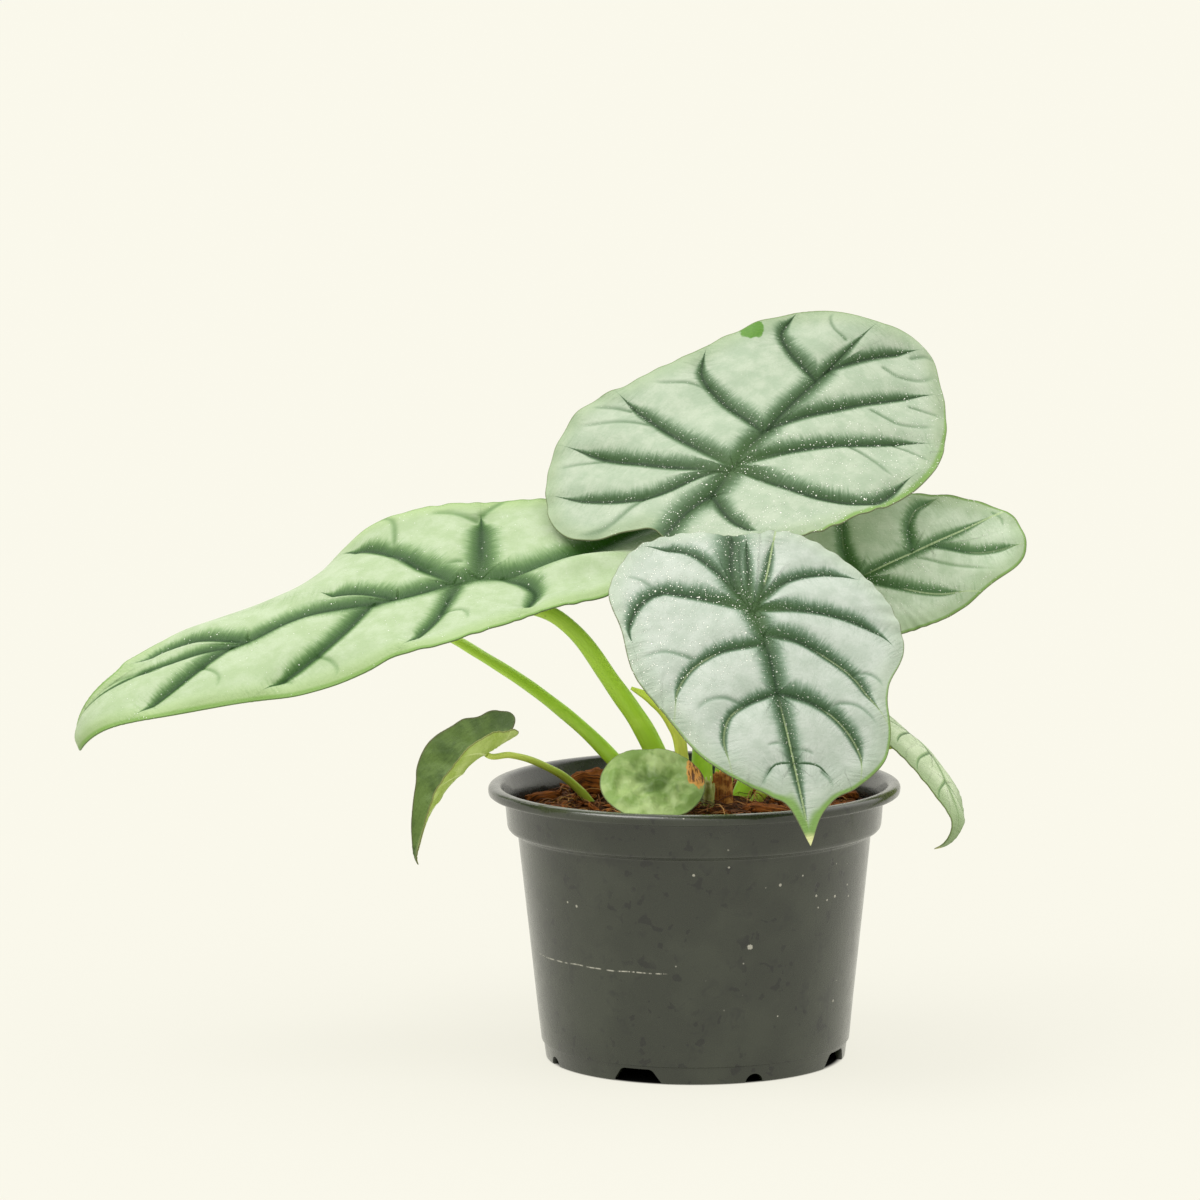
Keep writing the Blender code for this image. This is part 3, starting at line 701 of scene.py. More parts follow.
@dataclass(frozen=True)
class GreenFace:
    """Upper face of a young leaf: green, with paler patches and faint veins."""

    name: str = "leaf_green"
    light: str = "A9C88F"
    middle: str = "7FA76C"
    deep: str = "587F49"
    edge: str = "6F7048"
    spot_share: float = 0.05
    crumple: float = 0.0
    hollow_shade: float = 0.0
    pale_half: float = 0.0
    dry_edge: tuple[float, float, float, float] | None = None

    def make(self) -> Paint:
        """Return the material."""
        made = Material(self.name)
        g = made.graph
        ahead, across, edge = g.fields("leaf_flat")
        mid, _, relief = g.fields("leaf_vein")
        spot = g.join(ahead, across)
        wide = g.noise(spot, 0.10, 3.0, 0.6, 0.4)
        grain = g.noise(spot, 0.8, 4.0, 0.7)
        fibres = g.noise(g.join(ahead * 0.35, across * 1.6), 1.0, 3.0, 0.6)
        colour = g.mix(wide.above(0.36, 0.62), self.middle, self.light)
        dimple = (wide + grain * 0.25).below(0.50, 0.62) * relief
        colour = g.mix(dimple.least(1.0), colour, self.deep)
        colour = g.mix(fibres.above(0.5, 0.8) * 0.4 * (1.0 - self.hollow_shade), colour, self.deep)
        # The blade darkens round its hub: painted shade in the cupped hollow there.
        gap = (ahead * ahead + across * across) ** 0.5 + wide * 14.0
        colour = g.mix(gap.below(10.0, 17.0) * self.hollow_shade, colour, self.deep)
        colour = g.mix(abs(mid).below(0.15, 0.6) * 0.4 * (1.0 - self.hollow_shade), colour,
                       self.light)
        colour = g.mix(across.above(0.3, 1.5) * self.pale_half, colour, "B2C472")
        if self.dry_edge:
            centre_u, centre_v, long, wide_v = self.dry_edge
            gap = (((ahead - centre_u) / long) ** 2 + ((across - centre_v) / wide_v) ** 2) ** 0.5
            gap = gap + (g.noise(spot, 0.30, 2.0) - 0.5) * 0.8
            strands = g.noise(g.join(ahead * 0.25, across * 1.3), 1.0, 3.0, 0.6)
            papery = g.mix(strands.above(0.42, 0.58), "6E4216/1.5", "E2A04E/1.4")
            papery = g.mix(gap.above(0.60, 0.78), papery, "F0B05A/1.4")
            colour = g.mix(gap.below(0.85, 0.95), colour, papery)
        colour = g.mix(edge.below(0.2, 0.6) * 0.8, colour, self.edge)
        dots = g.specks(spot, 0.35, 0.16, self.spot_share)
        colour = g.mix(dots * 0.7, colour, "E8F0C8")
        height = grain * 0.4 + fibres * 0.4 + wide * self.crumple
        return made.finish(colour, 0.44 + (grain - 0.5) * 0.2, height, 0.0003,
                           Specular_IOR_Level=0.25)


@dataclass(frozen=True)
class LeafBack:
    """Under face of a leaf: pale matt green with raised, paler veins."""

    name: str = "leaf_back"
    ground: str = "9CBB80/1.45"
    cloud: str = "B2CB92/1.45"
    vein: str = "B9D26F/1.5"
    edge: str = "7B6F61"

    def make(self) -> Paint:
        """Return the material."""
        made = Material(self.name)
        g = made.graph
        ahead, across, edge = g.fields("leaf_flat")
        mid, lateral, fine = g.fields("leaf_vein")
        mid_band, lateral_band, _ = g.fields("leaf_band")
        spot = g.join(ahead, across)
        wide = g.noise(spot, 0.09, 3.0)
        net = g.wire(g.cells(spot, 0.45, "DISTANCE_TO_EDGE"), "Distance")
        grain = g.noise(spot, 1.2, 3.0, 0.6)
        colour = g.mix(wide.above(0.38, 0.65), self.ground, self.cloud)
        colour = g.mix(net.below(0.0, 0.10) * 0.3, colour, self.cloud)
        ribs = (abs(mid) / (mid_band * 0.55 + 0.05)).below(0.5, 1.1)
        ribs = ribs.most((abs(lateral) / (lateral_band * 0.6 + 0.05)).below(0.4, 1.1))
        colour = g.mix(ribs.most(fine * 0.5) * 0.9, colour, self.vein)
        colour = g.mix(edge.below(0.15, 0.55) * 0.7, colour, self.edge)
        height = grain * 0.4 + net.above(0.0, 0.12) * 0.4 + wide * 0.3
        return made.finish(colour, 0.62 + (grain - 0.5) * 0.2, height, 0.0002,
                           Specular_IOR_Level=0.2)


@dataclass(frozen=True)
class StalkSkin:
    """Smooth waxy skin of a petiole, with fine streaks along it."""

    name: str = "stalk_green"
    foot: str = "94BC33/0.78"
    middle: str = "A0C83C/0.78"
    top: str = "B4D352/0.78"
    streak: str = "86AE30/0.78"

    def make(self) -> Paint:
        """Return the material."""
        made = Material(self.name)
        g = made.graph
        share, turn, _ = g.fields("stalk_run")
        place = g.place()
        streaks = g.noise(g.join(turn * 2.2, share * 5.0), 1.0, 3.0, 0.6)
        cloud = g.noise(place, 0.12, 3.0)
        colour = g.mix(share.above(0.0, 0.45), self.foot, self.middle)
        colour = g.mix(share.above(0.45, 1.0), colour, self.top)
        colour = g.mix(streaks.above(0.5, 0.72) * 0.45, colour, self.streak)
        colour = g.mix(cloud.above(0.52, 0.7) * 0.35, colour, self.top)
        pocks = g.specks(place, 0.16, 0.06, 0.3)
        colour = g.mix(pocks * 0.5, colour, "55702A")
        colour = g.mix(share.below(0.0, 0.035) * 0.8, colour, "6B4A26")
        height = streaks * 0.7 + cloud * 0.3
        return made.finish(colour, 0.40 + (cloud - 0.5) * 0.2, height, 0.00015,
                           Specular_IOR_Level=0.3)


@dataclass(frozen=True)
class CoirSkin:
    """Coir husk: orange-brown fibres side by side, with painted shade in the gaps between them.
    """

    name: str = "coir_husk"
    bright: str = "D88E46/1.0"
    middle: str = "9A5622/1.2"
    dark: str = "2A1409/1.6"

    def make(self) -> Paint:
        """Return the material."""
        made = Material(self.name)
        g = made.graph
        along, side, tint = g.fields("coir_grain")
        threads = g.noise(g.join(along * 0.10, side * 1.5, tint * 7.0), 1.0, 4.0, 0.7)
        cloud = g.noise(g.place(), 0.22, 3.0, 0.6)
        # Dark where the threads part: painted shade in the gaps between fibres.
        colour = g.mix(threads.above(0.36, 0.56), self.dark, self.middle)
        colour = g.mix(threads.above(0.54, 0.74) * (0.4 + tint * 0.6), colour, self.bright)
        colour = g.mix(cloud.above(0.5, 0.72) * 0.55, colour, self.dark)
        return made.finish(colour, 0.92, threads * 0.8 + cloud * 0.3, 0.0005,
                           Specular_IOR_Level=0.2)


@dataclass(frozen=True)
class FibreSkin:
    """Loose coir strands, each with its own shade."""

    name: str = "coir_fibre"

    def make(self) -> Paint:
        """Return the material."""
        made = Material(self.name)
        g = made.graph
        share, tint, _ = g.fields("coir_grain")
        colour = g.mix(tint.above(0.0, 0.6), "5A3014/1.3", "A8652E/1.3")
        colour = g.mix(tint.above(0.55, 1.0), colour, "DCA562/1.2")
        bands = g.noise(g.join(share * 9.0, tint * 40.0), 1.0, 2.0)
        colour = g.mix(bands.above(0.5, 0.75) * 0.4, colour, "5A3115")
        return made.finish(colour, 0.8, bands, 0.00008)


@dataclass(frozen=True)
class MixBed:
    """The bed of fine coir and bark between the larger chunks."""

    name: str = "mix_bed"

    def make(self) -> Paint:
        """Return the material."""
        made = Material(self.name)
        g = made.graph
        place = g.place()
        lumps = g.wire(g.cells(place, 0.32), "Distance")
        threads = g.noise(g.place((1.0, 0.25, 1.0)), 1.3, 4.0, 0.7, 1.5)
        fine = g.noise(place, 0.9, 4.0, 0.7, 0.8)
        colour = g.mix(fine.above(0.38, 0.66), "2A1409", "8A4C1E/1.4")
        colour = g.mix(threads.above(0.56, 0.72) * 0.8, colour, "B06A2E/1.4")
        # Darker towards the cell edges: painted shade in the gaps between lumps.
        colour = g.mix(lumps.above(0.35, 0.75) * 0.7, colour, "1E0F07")
        return made.finish(colour, 0.95, fine * 0.6 + threads * 0.5, 0.0007,
                           Specular_IOR_Level=0.15)


@dataclass(frozen=True)
class DryLeaf:
    """Papery dry leaf base with lengthwise fibres and pale torn edges."""

    name: str = "dry_leaf"
    light: str = "E2A458/1.0"
    middle: str = "B26C2A/1.1"
    dark: str = "6B3A12/1.3"

    def make(self) -> Paint:
        """Return the material."""
        made = Material(self.name)
        g = made.graph
        turn, share, _ = g.fields("stalk_run")
        fibres = g.noise(g.join(turn * 16.0, share * 1.5), 1.0, 4.0, 0.65)
        cloud = g.noise(g.place(), 0.35, 3.0)
        colour = g.mix(fibres.above(0.38, 0.62), self.dark, self.middle)
        colour = g.mix(cloud.above(0.45, 0.65) * 0.7, colour, self.light)
        colour = g.mix(share.above(0.86, 0.97) * 0.7, colour, self.light)
        return made.finish(colour, 0.8, fibres, 0.0003, Specular_IOR_Level=0.3)


# ---------------------------------------------------------------- leaves


@dataclass(frozen=True)
class Vein:
    """One vein of a leaf, on the flat leaf: ahead of the hub and to its left.

    band is the half-width of the dark band at its root, and line how clearly the vein
    itself shows as a pale line, from line_from of its length on. taper is the share of
    its width that the band loses on its way.
    """

    points: tuple[FlatPoint, ...]
    band: float
    line: float = 0.0
    line_from: float = 0.35
    taper: float = 0.5


def vein(band: float, *run: float, **look: float) -> Vein:
    """Return a vein through points that are given as one row of numbers."""
    return Vein(tuple(zip(run[::2], run[1::2])), band, **look)


@dataclass(frozen=True)
class LeafVeins:
    """The veins of a leaf: its midrib, the side veins of its halves and its minor veins."""

    midrib: Vein
    left: tuple[Vein, ...]
    right: tuple[Vein, ...]
    minor: tuple[Vein, ...] = ()


@dataclass(frozen=True)
class Nearness:
    """How points of a flat leaf lie to one vein."""

    distance: Array
    along: Array
    side: Array
    gap: Array
    band: Array
    line: Array


BLADE_ANGLES = (0, 3, 8, 16, 28, 45, 70, 95, 120, 145, 165, 180)
HEART = (1.0, 0.82, 0.72, 0.61, 0.50, 0.42, 0.36, 0.31, 0.30, 0.32, 0.32, 0.28)


@dataclass(frozen=True)
class BladeShape:
    """A leaf blade: its flat outline around the hub and how the flat leaf is bent.

    left and right hold the distance from the hub to the margin at BLADE_ANGLES from the
    tip. heading, dip and roll place the midrib; droop, base_droop and hook bend it;
    fold, cup, twist, left_fall and right_fall bend the halves.
    """

    hub: Point
    length: float
    heading: float
    dip: float
    roll: float
    left: tuple[float, ...]
    right: tuple[float, ...]
    droop: float = 0.0
    base_droop: float = 0.0
    hook: float = 0.0
    hook_from: float = 0.8
    fold: float = 0.0
    cup: float = 0.0
    twist: float = 0.0
    left_fall: tuple[float, float] = (0.0, 0.0)
    right_fall: tuple[float, float] = (0.0, 0.0)
    fall_span: tuple[float, float] = (0.0, 1.0)

    BEND_REACH = (-1.0, 1.3)
    BEND_STEPS = 240
    HOOK_RUN = 0.3
    FOLD_EASE = 5.0
    OUTLINE_STEPS = 1080

    def axes(self) -> tuple[Array, Array, Array]:
        """Return the blade's tip, left and upward directions."""
        heading, dip, roll = np.radians((self.heading, self.dip, self.roll))
        tip = np.array((math.cos(heading) * math.cos(dip),
                        math.sin(heading) * math.cos(dip), -math.sin(dip)))
        level = np.array((-math.sin(heading), math.cos(heading), 0.0))
        above = np.cross(tip, level)
        left = level * math.cos(roll) - above * math.sin(roll)
        return tip, left, level * math.sin(roll) + above * math.cos(roll)

    def bend(self, ahead: Array) -> tuple[Array, Array, Array]:
        """Return the midrib's reach, lift and bend angle at distances ahead of the hub."""
        share = np.linspace(*self.BEND_REACH, self.BEND_STEPS)
        front = np.clip(share, 0.0, None)
        angle = math.radians(self.droop) * front
        angle -= math.radians(self.base_droop) * np.clip(-share, 0.0, None)
        hooked = np.clip((front - self.hook_from) / self.HOOK_RUN, 0.0, 1.0) ** 1.2
        angle += math.radians(self.hook) * hooked
        step = (share[1] - share[0]) * self.length
        middle = (angle[1:] + angle[:-1]) / 2.0
        reach = np.concatenate(([0.0], np.cumsum(np.cos(middle)) * step))
        lift = np.concatenate(([0.0], -np.cumsum(np.sin(middle)) * step))
        reach -= np.interp(0.0, share, reach)
        lift -= np.interp(0.0, share, lift)
        place = ahead / self.length
        return tuple(np.interp(place, share, values) for values in (reach, lift, angle))

    def surface(self, ahead: Array, across: Array) -> Array:
        """Return points of the bent blade above points of its flat shape.

        Args:
            ahead: Distance ahead of the hub, towards the tip.
            across: Distance to the left of the midrib's line.

        Returns:
            One point per row, in millimetres.
        """
        reach, lift, angle = self.bend(ahead)
        height = self.fold * (np.sqrt(across * across + self.FOLD_EASE ** 2) - self.FOLD_EASE)
        height += self.cup * across * across / self.length
        height += self.twist * ahead * across / self.length
        start, end = self.fall_span
        share = np.clip(ahead / self.length, 0.0, None)
        ease = smooth_share((share - start) / (end - start))
        for side, (base, far) in ((1.0, self.left_fall), (-1.0, self.right_fall)):
            half = np.clip(side * across, 0.0, None)
            height -= (base + (far - base) * ease) * half * half / self.length
        tip, left, up = self.axes()
        forward = (reach + height * np.sin(angle))[:, None] * tip
        upward = (lift + height * np.cos(angle))[:, None] * up
        return np.array(self.hub) + forward + across[:, None] * left + upward

    def normals(self, ahead: Array, across: Array) -> Array:
        """Return the bent blade's upward normals."""
        step = 0.4
        along = self.surface(ahead + step, across) - self.surface(ahead - step, across)
        aside = self.surface(ahead, across + step) - self.surface(ahead, across - step)
        return unit(np.cross(along, aside))

    def outline(self, side: Face) -> tuple[Array, Array]:
        """Return the margin of one half, from the tip to the base, and its outward normals.

        Args:
            side: UPPER stands for the left half here and LOWER for the right one.

        Returns:
            Points and normals, one per row.
        """
        angles = np.linspace(0.0, 180.0, self.OUTLINE_STEPS + 1)
        values = self.left if side is Face.UPPER else self.right
        distance = smooth_curve(np.array(BLADE_ANGLES, float), np.array(values), angles)
        turn = np.radians(angles)
        points = np.stack([distance * np.cos(turn), side.value * distance * np.sin(turn)], -1)
        way = unit(np.gradient(points, axis=0))
        return points, np.stack([way[:, 1], -way[:, 0]], -1) * side.value


@dataclass(frozen=True)
class VeinMap:
    """Measures how the points of a flat leaf lie to its veins.

    Side veins are lengthened by START_REACH and END_REACH, points are measured BATCH at a
    time, and the runs along the veins start SIDE_RUN or RIB_RUN apart, so that no two
    veins feather alike.
    """

    veins: LeafVeins
    shape: BladeShape

    START_REACH = 14.0
    END_REACH = 40.0
    BATCH = 6000
    SIDE_RUN = 53.0
    RIB_RUN = 400.0
    FAR = 1000.0

    def nearness(self, points: Array, vein: Vein, reach: bool) -> Nearness:
        """Measure points against one vein.

        Args:
            points: Flat points, one per row.
            vein: The vein.
            reach: Whether the vein is lengthened at both ends, without a band at its end.

        Returns:
            The measures of each point.
        """
        line = smooth_line(np.array(vein.points, float), 1.8)
        length = stations_of(line)[-1]
        start = 0.0
        if reach:
            start = self.START_REACH
            line = np.vstack([line[0] + unit(line[0] - line[1]) * start, line,
                              line[-1] + unit(line[-1] - line[-2]) * self.END_REACH])
        way = np.diff(line, axis=0)
        size = (way ** 2).sum(1)
        passed = np.concatenate(([0.0], np.cumsum(np.sqrt(size))))[:-1] - start
        found = []
        for part in np.array_split(points, max(1, len(points) // self.BATCH)):
            gap = part[:, None] - line[None, :-1]
            share = np.clip((gap * way).sum(-1) / size, 0.0, 1.0)
            gap = gap - share[..., None] * way
            distance = np.hypot(gap[..., 0], gap[..., 1])
            best = np.argmin(distance, axis=1)
            rows = np.arange(len(part))
            near = gap[rows, best]
            forward = way[best]
            side = np.sign(forward[:, 0] * near[:, 1] - forward[:, 1] * near[:, 0])
            along = passed[best] + share[rows, best] * np.sqrt(size[best])
            found.append((distance[rows, best], along, side, near[:, 0], near[:, 1]))
        distance, along, side, gap_x, gap_y = (np.concatenate(part) for part in zip(*found))
        spent = np.clip(along / length, 0.0, 1.0)
        band = vein.band * (1.0 - vein.taper * spent) * smooth_share((1.0 - spent) / 0.30)
        bright = vein.line * smooth_share((spent - vein.line_from) / 0.15 + 0.5)
        return Nearness(distance, along, np.where(side == 0.0, 1.0, side),
                        np.stack([gap_x, gap_y], -1), band, bright)

    def measure(self, points: Array) -> dict[str, Array]:
        """Return the fields that the leaf's relief and finish read.

        Args:
            points: Flat points, one per row.

        Returns:
            Arrays by name: signed distances, band widths, the run along the nearest
            vein, which side of it lies up the blade (where the bands get painted shade),
            line strength and the minor veins' mask.
        """
        rib = self.nearness(points, self.veins.midrib, False)
        count = len(points)
        lateral = np.full(count, self.FAR)
        parity = np.ones(count)
        band, run, line = np.zeros((3, count))
        gap = rib.gap.copy()
        for half, veins in ((1.0, self.veins.left), (-1.0, self.veins.right)):
            inside = rib.side == half
            for index, vein in enumerate(veins):
                found = self.nearness(points[inside], vein, True)
                closer = found.distance < lateral[inside]
                parity[inside] *= found.side
                for target, value in ((lateral, found.distance), (band, found.band),
                                      (run, found.along + self.SIDE_RUN * (index + 1)),
                                      (line, found.line)):
                    target[inside] = np.where(closer, value, target[inside])
                use = closer & (found.distance < rib.distance[inside])
                gap[inside] = np.where(use[:, None], found.gap, gap[inside])
        by_rib = rib.distance < lateral
        run = np.where(by_rib, rib.along + self.RIB_RUN, run)
        line = np.where(by_rib, rib.line, line)
        size = np.linalg.norm(gap, axis=1) + 1e-6
        fine = np.zeros(count)
        for vein in self.veins.minor:
            found = self.nearness(points, vein, False)
            fade = found.band / vein.band
            width = 0.35 + 0.6 * found.band
            fine = np.maximum(fine, fade * np.exp(-(found.distance / width) ** 2))
        tip, left, _ = self.shape.axes()
        # The direction up the blade: on this side of each vein the silver finish paints shade.
        uphill_shade_side = unit(np.array((tip[2], left[2])))
        return {"mid": rib.distance * rib.side, "lateral": np.clip(lateral, 0, 60) * parity,
                "mid_band": rib.band, "lateral_band": band, "along": run, "line": line,
                "uphill_shade_side": gap @ uphill_shade_side / size, "fine": fine}


@dataclass(frozen=True)
class Relief:
    """How deep a leaf's surface is quilted between its veins, and how wavy it is."""

    quilt: float = 2.3
    quilt_width: float = 3.8
    wave: float = 0.5
    margin_wave: float = 0.7
    bulges: tuple[tuple[float, float, float, float, float], ...] = ()
    crumple: float = 0.0
    rib: float = 1.5
    thickness: float = 0.62


@dataclass
class Blade:
    """One leaf blade: a closed sheet with quilted relief, replacing its CAD node."""

    name: str
    shape: BladeShape
    veins: LeafVeins
    upper: Paint
    lower: Paint
    slot: Slot = Slot.SILVER
    cells: int = 200
    relief: Relief = field(default_factory=Relief)
    seed: int = 1
    tip_size: float = 4.0
    rim: tuple[tuple[float, float], ...] = ((-180.0, 0.5), (180.0, 0.5))

    TIP_CROWD = 2.5
    TIP_SPAN = 7.0
    RIM_STEPS = (0.0, 0.05, 0.16, 0.33, 0.6, 1.0)
    RIM_BULGE = (0.0, 0.55, 0.86, 1.0)
    MARGIN = 5.0
    MID_ROOT = 2.6
    VALLEY_ROOT = 1.5
    RIB_ROOT = 1.8

    def sheet(self) -> Mesh:
        """Return two square grids joined at their rim, with their grid places stored."""
        shape = bmesh.new()
        layer = shape.verts.layers.float_vector.new("leaf_grid")
        for face in Face:
            made = bmesh.ops.create_grid(shape, x_segments=self.cells,
                                         y_segments=self.cells, size=1.0)
            for vertex in made["verts"]:
                ring = max(abs(vertex.co.x), abs(vertex.co.y))
                vertex[layer] = (vertex.co.x, vertex.co.y, face.value)
                vertex.co.z = face.value * 0.3 * (1.0 - ring)
            if face is Face.LOWER:
                for patch in {f for vertex in made["verts"] for f in vertex.link_faces}:
                    patch.material_index = 1
        bmesh.ops.remove_doubles(shape, verts=shape.verts, dist=0.00001)
        bmesh.ops.recalc_face_normals(shape, faces=shape.faces)
        return write_mesh(shape, self.name)

    def lay_flat(self, grid: Array) -> tuple[Array, Array, Array]:
        """Lay grid places on the flat leaf.

        Args:
            grid: Square grid places, one per row.

        Returns:
            Flat points, their distance to the margin and their bulge, which is 1 inside
            and falls to 0 at the rounded rim.
        """
        x, y = grid[:, 0], grid[:, 1]
        wide = np.abs(x) >= np.abs(y)
        long = np.where(wide, x, y)
        short = np.where(wide, y, x)
        ratio = short / np.where(long == 0.0, 1.0, long)
        turn = np.where(wide, ratio, 2.0 - ratio) * math.pi / 4.0
        turn = np.where(long < 0.0, turn + math.pi, turn)
        turn = (turn + math.pi) % (2.0 * math.pi) - math.pi
        rings = self.cells / 2.0
        ring = rings - np.abs(long) * rings
        left, right = (self.shape.outline(side) for side in Face)
        centre = np.array(((left[0][0, 0] + left[0][-1, 0]) / 2.0, 0.0))
        edge = np.empty_like(grid[:, :2])
        outward = np.empty_like(edge)
        for side, (points, normals) in zip((1.0, -1.0), (left, right)):
            half = turn * side >= 0.0
            lengths = np.linalg.norm(np.diff(points, axis=0), axis=1)
            angles = np.linspace(0.0, 180.0, len(points))[1:]
            lengths = lengths * (1.0 + self.TIP_CROWD * np.exp(-(angles / self.TIP_SPAN) ** 2))
            passed = np.concatenate(([0.0], np.cumsum(lengths)))
            share = np.abs(turn[half]) / math.pi * passed[-1]
            for target, source in ((edge, points), (outward, normals)):
                target[half] = np.stack([np.interp(share, passed, source[:, axis])
                                         for axis in (0, 1)], -1)
        spoke = edge - centre
        reach = np.linalg.norm(spoke, axis=1).mean()
        steps = len(self.RIM_STEPS) - 1
        stations = np.concatenate((np.arange(steps + 1), [rings]))
        inset = np.concatenate((self.RIM_STEPS, [reach])) / reach
        share = 1.0 - np.interp(ring, stations, inset)
        flat = centre + spoke * share[:, None]
        distance = (1.0 - share) * np.abs((spoke * outward).sum(1))
        return flat, distance, np.interp(ring, np.arange(4), self.RIM_BULGE)

    def valleys(self, fields: dict[str, Array], scale: float) -> Array:
        """Return how deep the vein valleys lie below the quilted surface.

        Args:
            fields: The vein fields.
            scale: Width of the valleys.

        Returns:
            A depth from 0 to 1 per point.
        """
        depths = []
        for key, root in (("mid", self.MID_ROOT), ("lateral", self.VALLEY_ROOT)):
            strength = np.clip(fields[key + "_band"] / root, 0.0, 1.0) ** 0.6
            distance = np.sqrt(fields[key] ** 2 + 0.06)
            depths.append(strength * np.exp(-(distance / scale) ** 1.25))
        return (depths[0] ** 3 + depths[1] ** 3) ** (1.0 / 3.0)

    def rise(self, flat: Array, edge: Array, fields: dict[str, Array]) -> Array:
        """Return how far the upper face stands above the bent sheet.

        Args:
            flat: Flat points, one per row.
            edge: Their distances to the margin.
            fields: The vein fields.

        Returns:
            A height in millimetres per point.
        """
        relief = self.relief
        ahead, across = flat.T
        fade = smooth_share(edge / self.MARGIN)
        quilt = self.valleys(fields, relief.quilt_width)
        rise = relief.quilt * (0.45 - quilt) * (0.35 + 0.65 * fade)
        rise -= relief.quilt * 0.22 * fields["fine"] * fade
        rise += relief.wave * waves(self.seed, 30.0, ahead, across)
        for centre_u, centre_v, long, wide, height in relief.bulges:
            gap = ((ahead - centre_u) / long) ** 2 + ((across - centre_v) / wide) ** 2
            rise += height * np.exp(-gap)
        spin = np.arctan2(across, ahead) * 60.0
        flutter = waves(self.seed + 7, 38.0, spin) + 0.5 * waves(self.seed + 8, 9.0, spin)
        rise += relief.margin_wave * flutter * np.exp(-edge / 6.0)
        ripple = waves(self.seed + 3, 1.6, fields["along"])
        near = np.minimum(np.abs(fields["mid"]), np.abs(fields["lateral"]))
        rise += 0.07 * ripple * np.exp(-near / 5.0) * smooth_share(near / 0.8)
        if relief.crumple:
            folds = turbulence(np.stack([ahead, across * 1.2, ahead * 0], -1), 0.06)
            rise += relief.crumple * folds * (0.25 + 0.75 * smooth_share(edge / 7.0))
        return rise

    def ribs(self, fields: dict[str, Array]) -> Array:
        """Return how far the veins stand out of the lower face."""
        ribs = np.zeros(len(fields["mid"]))
        for key, root, share in (("mid", self.MID_ROOT, 1.0), ("lateral", self.RIB_ROOT, 0.55)):
            size = self.relief.rib * np.clip(fields[key + "_band"] / root, 0.0, 1.2) ** 0.8
            size = size * share + 0.001
            ribs = np.maximum(ribs, size * np.sqrt(np.clip(1 - (fields[key] / size) ** 2, 0, 1)))
        return ribs

    def build(self) -> Item:
        """Build the blade and return its object."""
        mesh = self.sheet()
        stored = mesh.attributes["leaf_grid"]
        grid = np.empty((len(mesh.vertices), 3))
        stored.data.foreach_get("vector", grid.ravel())
        mesh.attributes.remove(stored)
        flat, edge, bulge = self.lay_flat(grid)
        ahead, across = flat.T
        fields = VeinMap(self.veins, self.shape).measure(flat)
        thick = self.relief.thickness
        half = thick / 2.0 * bulge
        under = -half - self.ribs(fields) * smooth_share(edge / self.MARGIN)
        offset = self.rise(flat, edge, fields) - thick / 2.0 + np.where(
            grid[:, 2] < 0.0, under, half)
        normals = self.shape.normals(ahead, across)
        write_points(mesh, self.shape.surface(ahead, across) + normals * offset[:, None])
        tip_gap = np.hypot(ahead - max(self.shape.left[0], 1.0), across)
        tip = np.exp(-(tip_gap / self.tip_size) ** 2)
        rim = np.interp(np.degrees(np.arctan2(across, ahead)), *np.array(self.rim, float).T)
        write_attribute(mesh, "leaf_flat", ahead, across, edge)
        write_attribute(mesh, "leaf_rim", rim, tip)
        for name, keys in (("leaf_vein", ("mid", "lateral", "fine")),
                           ("leaf_band", ("mid_band", "lateral_band", "uphill_shade_side")),
                           ("leaf_run", ("along", "line"))):
            write_attribute(mesh, name, *(fields[key] for key in keys))
        return add_piece(self.name, mesh, self.slot, (self.name,), self.upper, self.lower)


def scaled_heart(length: float) -> tuple[float, ...]:
    """Return the margin distances of a plain heart-shaped leaf."""
    return tuple(share * length for share in HEART)


